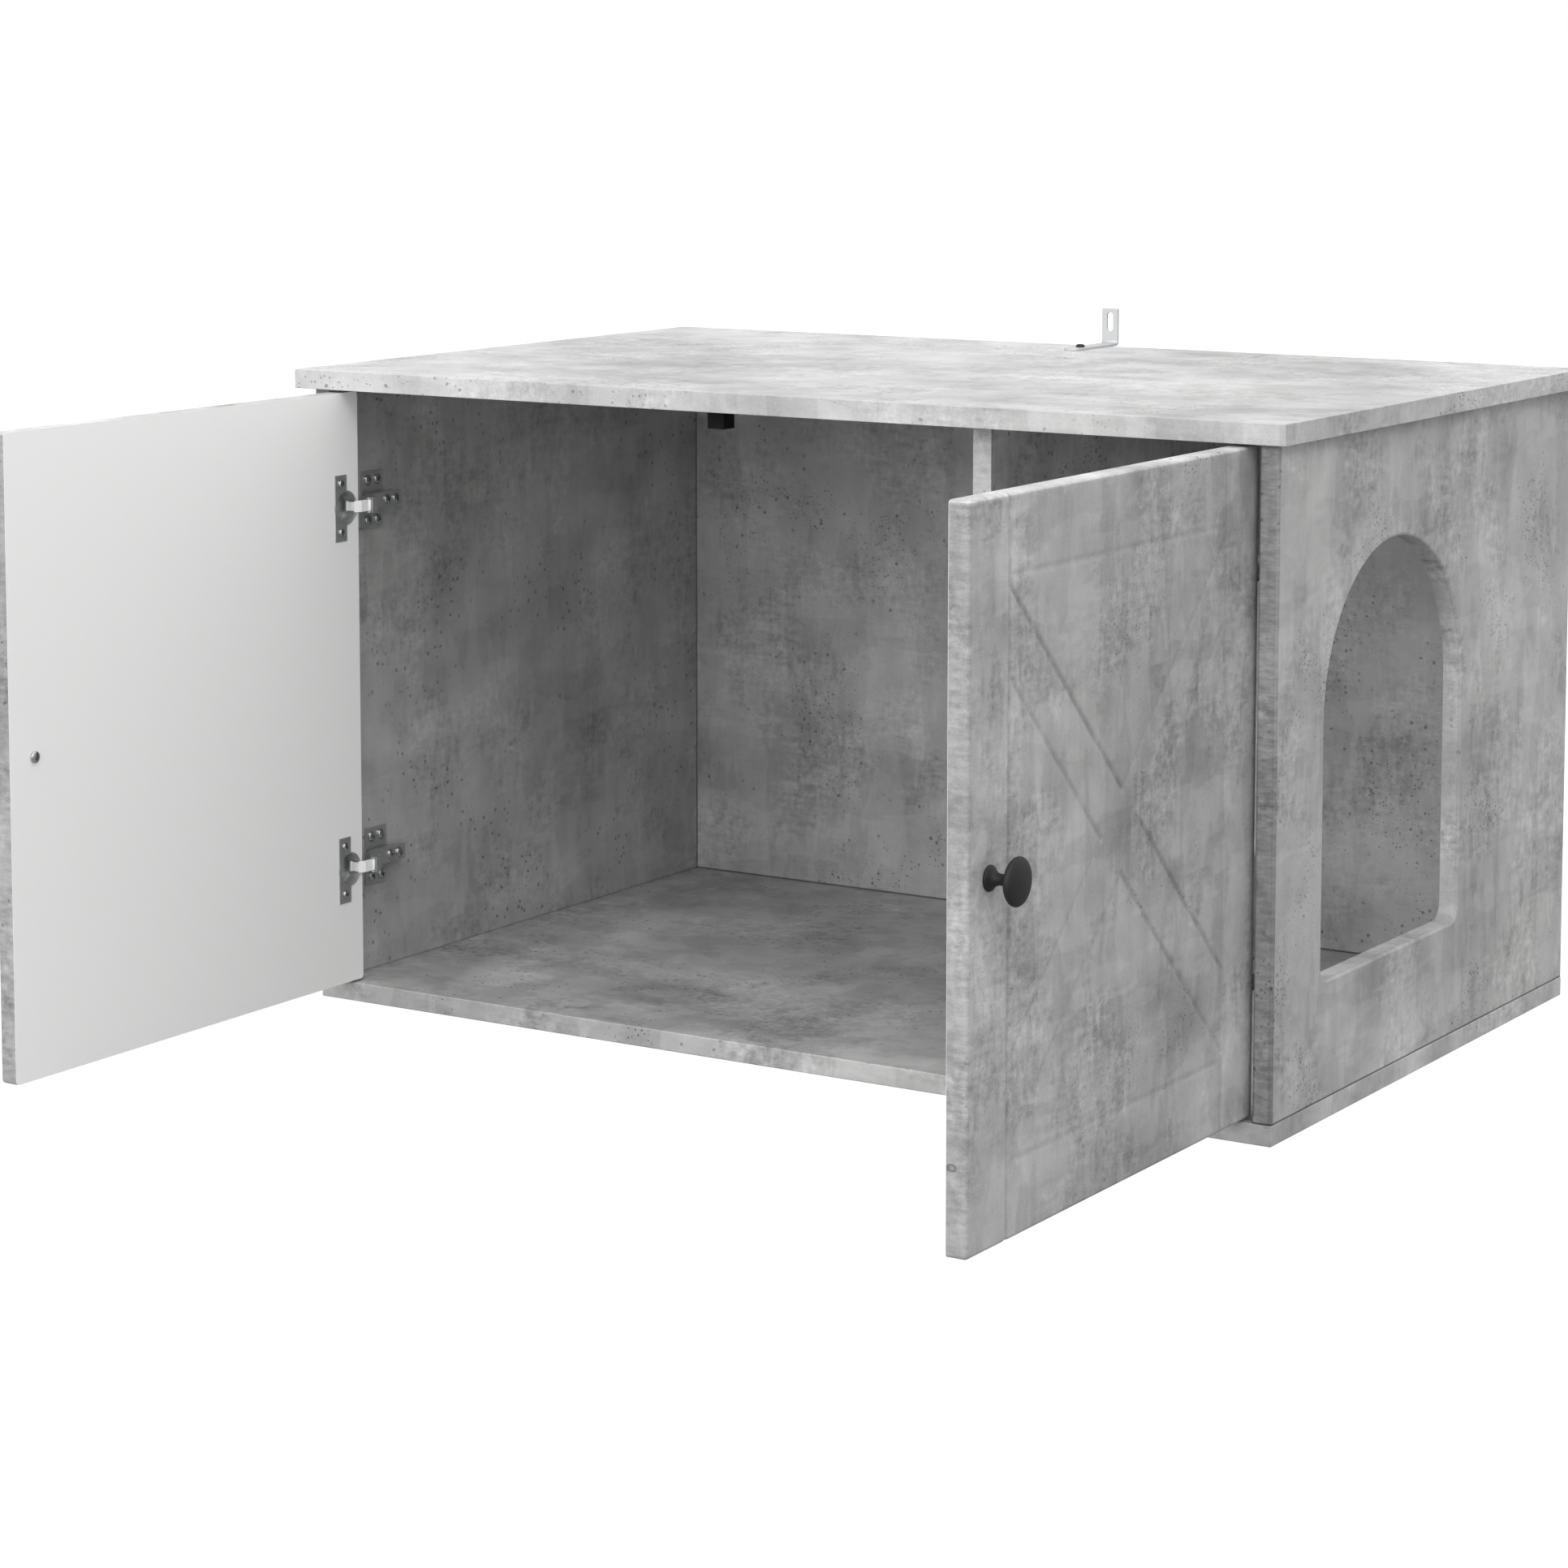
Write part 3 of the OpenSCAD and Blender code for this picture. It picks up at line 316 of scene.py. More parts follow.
@dataclass(frozen=True)
class ConcreteFinish:
    """The matte concrete print of a board: clouds, trowel marks, streaks, short strokes and dark pits."""

    name: str
    grain: Grain
    shift: Colour
    albedo: float
    contrast: float = 1.0
    strips: tuple[Strip, ...] = ()
    lining: Optional[Lining] = None
    knot: Optional[Knot] = None
    warm: Colour = (1.006, 1.0, 0.99)
    cool: Colour = (0.994, 1.0, 1.006)
    pit_shade: float = 0.36
    relief: float = 0.00028

    def _pits(self, tree: FinishTree, place: Signal) -> Signal:
        """Draws the dark pits, which stand in clusters.

        Args:
            tree: The material.
            place: The place on the board.

        Returns:
            One in a pit and nought elsewhere.
        """
        crowd = tree.noise(place, 9.0, 4.0, 0.62)
        loose, dense = crowd.ease(0.42, 0.6), crowd.ease(0.52, 0.64)
        gap, own = tree.cells(tree.warp(place, 300.0, 0.0028), 170.0)
        large = gap.ease(0.16, 0.32, 1.0, 0.0) * own.above(0.86) * loose
        fine_gap, fine_own = tree.cells(tree.warp(place, 500.0, 0.0016), 330.0)
        small = fine_gap.ease(0.2, 0.38, 1.0, 0.0) * fine_own.above(0.7) * dense
        return large.most(0.85 * small)

    def _tone(self, tree: FinishTree, place: Signal) -> Signal:
        """Draws the print's light and dark without its pits.

        Args:
            tree: The material.
            place: The place on the board.

        Returns:
            The factor on the print's colour.
        """
        upright = tree.place(self.shift, Grain.SHORT_UPRIGHT.value)
        level = tree.place(self.shift, Grain.SHORT_LEVEL.value)
        along = tree.place(self.shift, self.grain.value)
        clouds = tree.noise(place, 4.4, 3.0, 0.55, 0.5) - 0.5
        wide = tree.noise(place, 15.0, 4.0, 0.6, 0.3) - 0.5
        columns = tree.noise(upright, 24.0, 3.0, 0.6).ease(0.47, 0.51) - 0.5
        rows = tree.noise(level, 24.0, 3.0, 0.6).ease(0.49, 0.53) - 0.5
        streaks = tree.noise(along, 60.0, 4.0, 0.62) - 0.5
        busy = tree.noise(place, 11.0, 3.0, 0.6).ease(0.45, 0.6, 0.25, 1.35)
        tall = tree.noise(upright, 240.0, 3.0, 0.62) - 0.5
        flat = tree.noise(level, 260.0, 3.0, 0.62) - 0.5
        mottle = tree.noise(place, 150.0, 4.0, 0.66) - 0.5
        dust = tree.noise(place, 800.0, 1.0) - 0.5
        marks = tree.noise(level, 520.0, 1.0).ease(0.66, 0.74)
        slow = 1.25 * clouds + 0.85 * wide + 0.13 * columns + 0.11 * rows + 0.35 * streaks
        quick = busy * (0.4 * tall + 0.5 * flat + 0.78 * mottle - 0.22 * marks) + 0.3 * dust
        return 1.0 + self.contrast * (slow + quick)

    def _ring(self, tree: FinishTree) -> Signal:
        """Draws the factor on the print's colour round the knot.

        Args:
            tree: The material.

        Returns:
            The factor, which is one away from the knot.
        """
        (x, z), (half_x, half_z) = self.knot.middle, self.knot.half_size
        place = tree.place((-x / half_x, 0.0, -z / half_z), (1.0 / half_x, 0.0, 1.0 / half_z))
        reach = tree.signal("ShaderNodeVectorMath", {0: place}, "Value", operation="LENGTH")
        return 1.0 - reach.ease(0.3, 0.75) * reach.ease(0.85, 1.2, 1.0, 0.0) * self.knot.depth

    def _edge(self, tree: FinishTree, strip: Strip) -> Signal:
        """Draws the factor on the print's colour along a narrow edge, mostly painted light or shade.

        Args:
            tree: The material.
            strip: The edge.

        Returns:
            The factor, which is one on the rest of the board.
        """
        along = tree.signal("ShaderNodeSeparateXYZ", {0: tree.place()}, strip.axis)
        strokes = tree.noise(tree.place(self.shift, Grain.SHORT_LEVEL.value), 260.0, 4.0, 0.66) - 0.5
        inside = (along * float(strip.side)).above(strip.plane * strip.side)
        return 1.0 + inside * (strip.tone - 1.0 + strip.stroke * strokes)

    def dress(self) -> Material:
        """Makes the material.

        Returns:
            The material.
        """
        tree = FinishTree(self.name)
        place = tree.place(self.shift)
        pits = self._pits(tree, place)
        tone = self._tone(tree, place) * (1.0 - pits * (self.contrast * (1.0 - self.pit_shade)))
        hue = tree.blend(tree.noise(place, 3.0, 1.0), self.warm, self.cool)
        # The strips paint light and shade along edges and joints.
        for strip in self.strips:
            tone = tone * self._edge(tree, strip)
        if self.knot:
            tone = tone * self._ring(tree)
        if self.lining:
            # Painted shade darkens the print in the door's grooves.
            groove = tree.signal("ShaderNodeAttribute", None, "Fac", attribute_name=PAINTED_GROOVE_SHADE)
            tone = tone * (1.0 - groove * tree.noise(place, 55.0, 3.0, 0.6).ease(0.36, 0.6, 0.35, 1.35))
        colour = tree.tint(hue, tone * self.albedo)
        grit = tree.noise(place, 420.0, 3.0, 0.6)
        roughness = 0.5 + 0.14 * (grit - 0.5) + 0.2 * pits
        height = 0.4 * grit - 0.9 * pits
        if self.lining:
            across = tree.signal("ShaderNodeSeparateXYZ", {0: tree.place()}) * -float(self.lining.hand.value)
            lined = across.above(-self.lining.plane)
            grain = tree.noise(tree.place(), 1500.0, 2.0)
            colour = tree.blend(lined, colour, tree.tint(self.lining.colour, 0.985 + 0.03 * grain))
            roughness = roughness * (1.0 - lined) + (self.lining.roughness + 0.06 * grain) * lined
            height = height * (1.0 - lined) + 0.12 * grain * lined
        return tree.finish(Base_Color=colour, Roughness=roughness, Normal=tree.bump(height, self.relief))


@dataclass(frozen=True)
class MetalFinish:
    """Plated steel with faint drawing lines, smudges and a fine grain."""

    name: str
    colour: Colour
    roughness: float
    wear: float = 0.12
    metallic: float = 1.0
    relief: float = 0.00002

    def dress(self) -> Material:
        """Makes the material.

        Returns:
            The material.
        """
        tree = FinishTree(self.name)
        place = tree.place()
        smudge = tree.noise(place, 130.0, 3.0, 0.6, 0.4)
        lines = tree.noise(tree.place(stretch=(1.0, 1.0, 0.05)), 2600.0, 2.0)
        grain = tree.noise(place, 2400.0, 2.0)
        colour = tree.tint(self.colour, 1.0 + self.wear * (smudge - 0.5) + 0.1 * (lines - 0.5))
        roughness = self.roughness + 0.14 * (smudge.ease(0.4, 0.65) - 0.5) + 0.1 * (grain - 0.5)
        return tree.finish(Base_Color=colour, Metallic=self.metallic, Roughness=roughness,
                           Normal=tree.bump(0.5 * lines + 0.3 * grain, self.relief))


@dataclass(frozen=True)
class LacquerFinish:
    """Satin black on the knobs and the bracket's screw, and the moulded black of the door stop."""

    name: str
    colour: Colour
    roughness: float
    relief: float = 0.00002
    gloss: float = 0.3

    def dress(self) -> Material:
        """Makes the material.

        Returns:
            The material.
        """
        tree = FinishTree(self.name)
        place = tree.place()
        peel = tree.noise(place, 1100.0, 3.0, 0.6)
        haze = tree.noise(place, 90.0, 3.0, 0.6)
        roughness = self.roughness + 0.16 * (haze - 0.5) + 0.08 * (peel - 0.5)
        return tree.finish(Base_Color=tree.tint(self.colour, 0.8 + 0.4 * haze), Roughness=roughness,
                           Specular_IOR_Level=self.gloss, Normal=tree.bump(peel, self.relief))


@dataclass(frozen=True)
class BeechFinish:
    """Plain beech with its short flecks, on the dowels."""

    name: str = "beech dowel"
    light: Colour = (0.62, 0.45, 0.29)
    dark: Colour = (0.46, 0.3, 0.17)
    relief: float = 0.00006

    def dress(self) -> Material:
        """Makes the material.

        Returns:
            The material.
        """
        tree = FinishTree(self.name)
        fibre = tree.noise(tree.place(stretch=(1.0, 1.0, 0.06)), 900.0, 4.0, 0.6)
        fleck = tree.noise(tree.place(stretch=(1.0, 1.0, 0.25)), 1600.0, 1.0).ease(0.6, 0.68)
        tone = (1.6 * (fibre - 0.5) + 0.5 + 0.3 * fleck).least(1.0).most(0.0)
        return tree.finish(Base_Color=tree.blend(tone, self.light, self.dark),
                           Roughness=0.55 + 0.2 * (fibre - 0.5), Normal=tree.bump(fibre, self.relief))


@dataclass(frozen=True)
class FloorFinish:
    """The pale floor of the studio, which is as white as the backdrop to the camera."""

    name: str = "pale floor"
    colour: Colour = (0.3, 0.3, 0.3)
    glow: float = 0.8

    def dress(self) -> Material:
        """Makes the material.

        Returns:
            The material.
        """
        tree = FinishTree(self.name)
        haze = tree.noise(tree.place(), 1.7, 2.0)
        matte = tree.signal("ShaderNodeBsdfDiffuse", {"Color": tree.tint(self.colour, 0.995 + 0.01 * haze)})
        seen = tree.signal("ShaderNodeLightPath", output="Is Camera Ray")
        glow = tree.signal("ShaderNodeEmission", {"Color": (1.0, 1.0, 1.0), "Strength": seen * self.glow})
        self_lit = tree.signal("ShaderNodeAddShader", {0: matte, 1: glow})
        tree.node("ShaderNodeOutputMaterial", {"Surface": self_lit})
        return tree.material


def circle(radius: float, count: int, middle: Pair = (0.0, 0.0)) -> list[Pair]:
    """The points of a circle, anticlockwise."""
    turns = [math.tau * step / count for step in range(count)]
    return [(middle[0] + radius * math.cos(turn), middle[1] + radius * math.sin(turn)) for turn in turns]


def round_trip(count: int, first: int = 0) -> list[tuple[int, int]]:
    """Each point of a closed line with the next, as their places in a list."""
    return [(first + step, first + (step + 1) % count) for step in range(count)]


def filled(outline: Sequence[Pair], edges: Sequence[tuple[int, int]],
           wanted: Callable[[Vector], bool]) -> tuple[list[Vector], list[Sequence[int]]]:
    """Fills flat outlines with triangles.

    Args:
        outline: The points of all outlines.
        edges: The pairs of points that are joined.
        wanted: Tells whether a triangle with this middle is kept.

    Returns:
        The points, and the triangles that are kept.
    """
    points, _, faces, *_ = delaunay_2d_cdt([Vector(point) for point in outline], edges, [], 0, SAME_PLACE)
    kept = [face for face in faces
            if wanted(sum((points[index] for index in face), Vector((0.0, 0.0))) / len(face))]
    return points, kept


class Draft:
    """Points and faces of one mesh while it is being drawn."""

    def __init__(self) -> None:
        """Makes an empty draft."""
        self.points: list[Vector] = []
        self.faces: list[tuple[int, ...]] = []

    def add(self, points: Iterable[Sequence[float]], faces: Iterable[Iterable[int]]) -> None:
        """Adds points and faces.

        Args:
            points: The points.
            faces: The faces, which count from the first of these points.
        """
        first = len(self.points)
        self.points.extend(Vector(point) for point in points)
        self.faces.extend(tuple(first + index for index in face) for face in faces)

    def wall(self, start: Sequence[Sequence[float]], end: Sequence[Sequence[float]],
             closed: bool = False) -> None:
        """Adds a wall between two outlines.

        Args:
            start: The points of the first outline.
            end: The points of the second, as many.
            closed: Whether a face closes the second.
        """
        count = len(start)
        faces = [(here, after, count + after, count + here) for here, after in round_trip(count)]
        if closed:
            faces.append(tuple(range(count, 2 * count)))
        self.add([*start, *end], faces)

    def lathe(self, profile: Sequence[Pair], steps: int) -> None:
        """Turns a profile about Z.

        Args:
            profile: Radius and height of each ring, from below to above on the outside.
            steps: The number of facets round.
        """
        rings = [[(0.0, 0.0, height)] if radius == 0.0 else
                 [(x, y, height) for x, y in circle(radius, steps)] for radius, height in profile]
        starts = [sum(map(len, rings[:index])) for index in range(len(rings))]

        def at(ring: int, step: int) -> int:
            """The place of a point in the list, where a ring may be a single point."""
            return starts[ring] + step % len(rings[ring])

        self.add([point for ring in rings for point in ring],
                 [dict.fromkeys((at(low, step), at(low, step + 1), at(low + 1, step + 1), at(low + 1, step)))
                  for low in range(len(rings) - 1) for step in range(steps)])

    def mesh(self, name: str, place: Callable[[Vector], Vector], corner: float) -> Mesh:
        """Turns the draft into a mesh with merged points and faces that point outwards.

        Args:
            name: The mesh's name.
            place: Gives the place in the frame of a point of the draft.
            corner: The angle from which an edge looks sharp, in degrees.

        Returns:
            The mesh.
        """
        mesh = bpy.data.meshes.new(name)
        mesh.from_pydata([place(point) for point in self.points], [], self.faces)
        work = bmesh.new()
        work.from_mesh(mesh)
        bmesh.ops.remove_doubles(work, verts=work.verts, dist=1e-7)
        bmesh.ops.recalc_face_normals(work, faces=work.faces)
        work.to_mesh(mesh)
        work.free()
        mesh.shade_smooth()
        mesh.set_sharp_from_angle(angle=math.radians(corner))
        return mesh


def smooth_through(stops: Sequence[Pair], steps: int) -> list[Pair]:
    """Draws a smooth line through some stops.

    Args:
        stops: Radius and height of each stop.
        steps: The number of points for each stretch.

    Returns:
        The points of the line.
    """
    ends = [stops[0], *stops, stops[-1]]
    line: list[Pair] = []
    for before, start, end, after in zip(ends, ends[1:], ends[2:], ends[3:]):
        for step in range(steps):
            t = step / steps
            line.append(tuple(
                0.5 * (2 * q + (r - p) * t + (2 * p - 5 * q + 4 * r - s) * t * t
                       + (3 * q - p - 3 * r + s) * t ** 3)
                for p, q, r, s in zip(before, start, end, after)))
    return [*line, stops[-1]]


def show(name: str, data: ID) -> Object:
    """Puts a mesh, a light or the camera in the scene.

    Args:
        name: The object's name.
        data: What it shows.

    Returns:
        The object.
    """
    made = bpy.data.objects.new(name, data)
    bpy.context.scene.collection.objects.link(made)
    return made


def set_up(name: str, mesh: Mesh, material: Material) -> Object:
    """Puts a mesh, in the frame's metres, in the scene with its finish."""
    mesh.materials.append(material)
    return show(name, mesh)


def repaint(node: str, material: Material, bevel: float = 0.0) -> None:
    """Gives a CAD node its finish, and rounds its sharp edges in the picture.

    Args:
        node: The node's name.
        material: The finish.
        bevel: The width of the rounding in millimetres, or nought for none.
    """
    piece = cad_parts[node]
    piece.data.materials.clear()
    piece.data.materials.append(material)
    if not bevel:
        return
    piece.modifiers.new("merge", "WELD").merge_threshold = SAME_PLACE
    flat = piece.modifiers.new("flat faces", "DECIMATE")
    flat.decimate_type = "DISSOLVE"
    flat.angle_limit = SAME_PLANE
    edges = piece.modifiers.new("edges", "BEVEL")
    edges.width = bevel * MM
    edges.segments = 2
    edges.limit_method = "ANGLE"
    edges.angle_limit = ROUNDED_FROM
    edges.use_clamp_overlap = False
    edges.loop_slide = False
    edges.harden_normals = True


@dataclass
class Palette:
    """Every finish of the fittings, made once."""

    hinge_steel: Material = field(
        default_factory=MetalFinish("hinge steel", (0.44, 0.445, 0.45), 0.38, metallic=0.75).dress)
    # Near white and hardly metallic, standing in for the link's bright reflections: a painted reflection.
    bright_steel: Material = field(
        default_factory=MetalFinish("bright steel", (0.97, 0.97, 0.97), 0.32, 0.03, 0.05).dress)
    zinc: Material = field(
        default_factory=MetalFinish("zinc plate", (0.5, 0.505, 0.51), 0.24).dress)
    strap_zinc: Material = field(
        default_factory=MetalFinish("zinc strap", (0.5, 0.505, 0.51), 0.45, metallic=0.6).dress)
    black_steel: Material = field(
        default_factory=LacquerFinish("satin black", (0.014, 0.014, 0.015), 0.5).dress)
    black_plastic: Material = field(
        default_factory=LacquerFinish("moulded black", (0.008, 0.008, 0.0085), 0.55, 0.00006, 0.1).dress)
    beech: Material = field(default_factory=BeechFinish().dress)


class ScrewTree(NodeMaker):
    """Geometry Nodes that set a screw on every point of a mesh, along the point's own aim."""

    def __init__(self) -> None:
        """Makes the tree."""
        super().__init__(bpy.data.node_groups.new("screws on points", "GeometryNodeTree"))
        self.tree.is_modifier = True
        self.keys = {
            label: self.tree.interface.new_socket(label, in_out="INPUT", socket_type=kind).identifier
            for label, kind in (("Mesh", "NodeSocketGeometry"), ("Screw", "NodeSocketObject"),
                                ("Finish", "NodeSocketMaterial"), ("Turn Seed", "NodeSocketInt"))}
        self.tree.interface.new_socket("Mesh", in_out="OUTPUT", socket_type="NodeSocketGeometry")
        given = self.node("NodeGroupInput").outputs
        aim = self.output("GeometryNodeInputNamedAttribute", {"Name": "aim"}, "Attribute",
                          data_type="FLOAT_VECTOR")
        turn = self.output("FunctionNodeRandomValue", {
            "Min": -math.pi, "Max": math.pi, "Seed": given["Turn Seed"]}, "Value", data_type="FLOAT")
        about = self.output("ShaderNodeCombineXYZ", {"Z": turn})
        spin = self.output("FunctionNodeEulerToRotation", {0: about})
        facing = self.output("FunctionNodeAlignRotationToVector", {"Vector": aim}, axis="Z")
        turned = self.output("FunctionNodeRotateRotation", {0: facing, 1: spin}, rotation_space="LOCAL")
        screw = self.output("GeometryNodeObjectInfo", {"Object": given["Screw"], "As Instance": True},
                            "Geometry", transform_space="ORIGINAL")
        placed = self.output("GeometryNodeInstanceOnPoints", {
            "Points": given["Mesh"], "Instance": screw, "Rotation": turned})
        real = self.output("GeometryNodeRealizeInstances", {"Geometry": placed})
        painted = self.output("GeometryNodeSetMaterial", {"Geometry": real, "Material": given["Finish"]})
        self.node("NodeGroupOutput", {0: painted})

    def run(self, made: Object, screw: Object, finish: Material, seed: int) -> None:
        """Runs the tree on an object and keeps the result as its plain mesh.

        Args:
            made: The object, whose points are the seats.
            screw: The screw.
            finish: Its finish.
            seed: The seed of the screws' turns.
        """
        modifier = made.modifiers.new("tree", "NODES")
        modifier.node_group = self.tree
        for label, value in (("Screw", screw), ("Finish", finish), ("Turn Seed", seed)):
            modifier[self.keys[label]] = value
        seen = bpy.context.evaluated_depsgraph_get()
        made.data = bpy.data.meshes.new_from_object(made.evaluated_get(seen), depsgraph=seen)
        made.modifiers.clear()


@dataclass(frozen=True)
class Screw:
    """A screw with a domed head, a cross recess and a threaded shank, in millimetres."""

    head_d: float
    head_h: float
    shank_d: float
    length: float
    recess: float = 0.56
    slot: float = 0.13
    pitch: float = 1.3
    facets: int = 32
    rim_share: float = 0.42
    crown_power: float = 2.4
    recess_floor: float = 0.25
    recess_taper: float = 0.8
    core_share: float = 0.74
    tip_h: float = 1.6

    def _crown(self, radius: float) -> float:
        """The height of the dome at a radius."""
        share = min(1.0, 2.0 * radius / self.head_d) ** self.crown_power
        return self.head_h * (self.rim_share + (1.0 - self.rim_share) * math.sqrt(1.0 - share))

    def _cross(self) -> list[Pair]:
        """The outline of the recess.

        Returns:
            Its corners, anticlockwise.
        """
        reach, half = self.head_d * self.recess / 2.0, self.head_d * self.slot / 2.0
        arm = ((reach, -half), (reach, half), (half, half))
        return [(c * x - s * y, s * x + c * y) for c, s in ((1, 0), (0, 1), (-1, 0), (0, -1)) for x, y in arm]

    def _on_head(self, middle: Vector) -> bool:
        """Tells whether a point of the head's top is outside the recess."""
        low, high = sorted((abs(middle.x), abs(middle.y)))
        return low >= self.head_d * self.slot / 2.0 + 1e-4 or high >= self.head_d * self.recess / 2.0 + 1e-4

    def draft(self) -> Draft:
        """Draws the screw with its seat at the origin and its head upwards.

        Returns:
            The draft, in millimetres.
        """
        draft = Draft()
        radius, shank = self.head_d / 2.0, self.shank_d / 2.0
        cross = self._cross()
        top = [*cross, *circle(radius, self.facets), *circle(radius * 0.94, self.facets),
               *circle(radius * 0.84, self.facets // 2), *circle(radius * 0.7, self.facets // 2)]
        points, faces = filled(top, round_trip(len(cross)), self._on_head)
        draft.add([(p.x, p.y, self._crown(p.length)) for p in points], faces)
        taper, bottom = self.recess_taper, self.head_h * self.recess_floor
        draft.wall([(x, y, self._crown(math.hypot(x, y))) for x, y in cross],
                   [(taper * x, taper * y, bottom) for x, y in cross], closed=True)
        thread: list[Pair] = [(0.0, -self.length), (0.35 * shank, -self.length + 0.6)]
        height = -self.length + self.tip_h
        while height < -self.pitch:
            thread.extend(((self.core_share * shank, height), (shank, height + 0.45 * self.pitch)))
            height += self.pitch
        neck = 0.8 * shank
        thread.extend(((neck, -0.4), (neck, 0.0), (radius, 0.0), (radius, self._crown(radius))))
        draft.lathe(thread, self.facets)
        return draft


@dataclass
class ScrewSet:
    """Equal screws of one node, set by the tree on seats that share one aim."""

    node: str
    body: str
    shape: Screw
    slot: str
    seats: list[Vector]
    aim: Vector
    seed: int

    def build(self, tree: ScrewTree, material: Material) -> None:
        """Makes the screws as one piece in place of their node.

        Args:
            tree: The tree that sets them.
            material: Their finish.
        """
        shape = self.shape.draft().mesh("screw", lambda p: p * MM, 40.0)
        model = set_up(self.node + "_model", shape, material)
        dots = bpy.data.meshes.new(self.node + "_seats")
        dots.from_pydata(self.seats, [], [])
        dots.attributes.new("aim", "FLOAT_VECTOR", "POINT").data.foreach_set(
            "vector", [*self.aim] * len(self.seats))
        made = show(self.node + "_dressed", dots)
        tree.run(made, model, material, self.seed)
        bpy.data.objects.remove(model)
        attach(made, self.body)
        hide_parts(self.node)


@dataclass(frozen=True)
class Board:
    """The print and bevel of one board, with the tone of the painted shade line at its foot, if it has one.
    """

    grain: Grain
    shift: Colour
    contrast: float
    albedo: float = 0.385
    foot_tone: Optional[float] = 0.32
    bevel: float = 0.5


@dataclass
class Carcass:
    """The six boards of the cabinet and the fixings inside them."""

    # Painted shade on the side panels' front edges, which the open doors shade.
    side_strip: Strip = Strip("Y", -0.2625, -1, 0.72)
    # Painted light on the right side panel's arch jamb and inner face.
    jamb_strip: Strip = Strip("X", 0.4125, -1, 1.2, 0.3)
    # Painted light on the divider's front edge.
    divider_tone: float = 1.24
    # Width and tone of the painted shade lines in the joints and along the boards' feet.
    joint_w: float = 1.4
    joint_tone: float = 0.32
    boards: dict[str, Board] = field(default_factory=lambda: {
        "top_panel": Board(Grain.ALONG_WIDTH, (0.31, 0.12, 0.57), 0.84, 0.435, None),
        # The bottom's lighter albedo is painted light, brightening the floor inside the cabinet.
        "bottom_panel": Board(Grain.ALONG_WIDTH, (1.37, 0.83, 0.21), 1.0, 0.42, None, 1.0),
        "left_side_panel": Board(Grain.UPRIGHT, (2.71, 1.13, 0.46), 0.78, foot_tone=0.8),
        "right_side_panel": Board(Grain.UPRIGHT, (0.92, 2.41, 1.18), 0.9),
        "back_panel": Board(Grain.UPRIGHT, (3.19, 0.27, 2.05), 0.86),
        "divider_panel": Board(Grain.UPRIGHT, (1.78, 3.36, 0.74), 0.95),
    })

    def _strips(self, node: str, board: Board) -> tuple[Strip, ...]:
        """Gives the narrow edges of a board, which carry painted light or shade, and the painted shade lines
        where it meets its neighbours.

        Args:
            node: The board's name.
            board: The board.

        Returns:
            The edges and lines.
        """
        if board.foot_tone is None:
            return ()
        low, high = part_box(node)
        width = self.joint_w * MM
        # The right side's front edge keeps the side panels' painted shade beneath the jamb's painted light.
        front_edge_shade_tone = self.side_strip.tone / self.jamb_strip.tone
        own = {
            "left_side_panel": (self.side_strip,),
            "right_side_panel": (replace(self.side_strip, tone=front_edge_shade_tone), self.jamb_strip),
            "back_panel": (Strip("X", low[0] + width, -1, self.joint_tone, 0.0),
                           Strip("X", high[0] - width, 1, self.joint_tone, 0.0)),
            "divider_panel": (Strip("Y", low[1] + board.bevel * MM, -1, self.divider_tone),),
        }
        return (Strip("Z", low[2] + width, -1, board.foot_tone, 0.0), *own[node])

    def build(self, palette: Palette) -> None:
        """Dresses the boards and the fixings.

        Args:
            palette: The fittings' finishes.
        """
        for node, board in self.boards.items():
            finish = ConcreteFinish("concrete " + node.replace("_", " "), board.grain, board.shift,
                                    board.albedo, board.contrast, self._strips(node, board))
            repaint(node, finish.dress(), board.bevel)
            log.info("board %s", node)
        repaint("panel_dowels", palette.beech)
        for node in ("floor_screws", "cam_bolts", "cam_discs"):
            repaint(node, palette.zinc)


@dataclass(frozen=True)
class Groove:
    """A straight soft groove in a door's front, in millimetres, with the painted shade in its print."""

    start: Pair
    end: Pair
    depth: float
    shade: float
    half: float = 4.0

    def share(self, s: float, z: float) -> float:
        """Tells how far inside the groove a point is.

        Args:
            s: Distance across the door.
            z: Height.

        Returns:
            One on the groove's middle, falling to nought at its edges.
        """
        (s0, z0), (s1, z1) = self.start, self.end
        run_s, run_z = s1 - s0, z1 - z0
        share = min(1.0, max(0.0, ((s - s0) * run_s + (z - z0) * run_z) / (run_s ** 2 + run_z ** 2)))
        gap = math.hypot(s - s0 - share * run_s, z - z0 - share * run_z)
        return 0.5 * (1.0 + math.cos(math.pi * min(1.0, gap / self.half)))


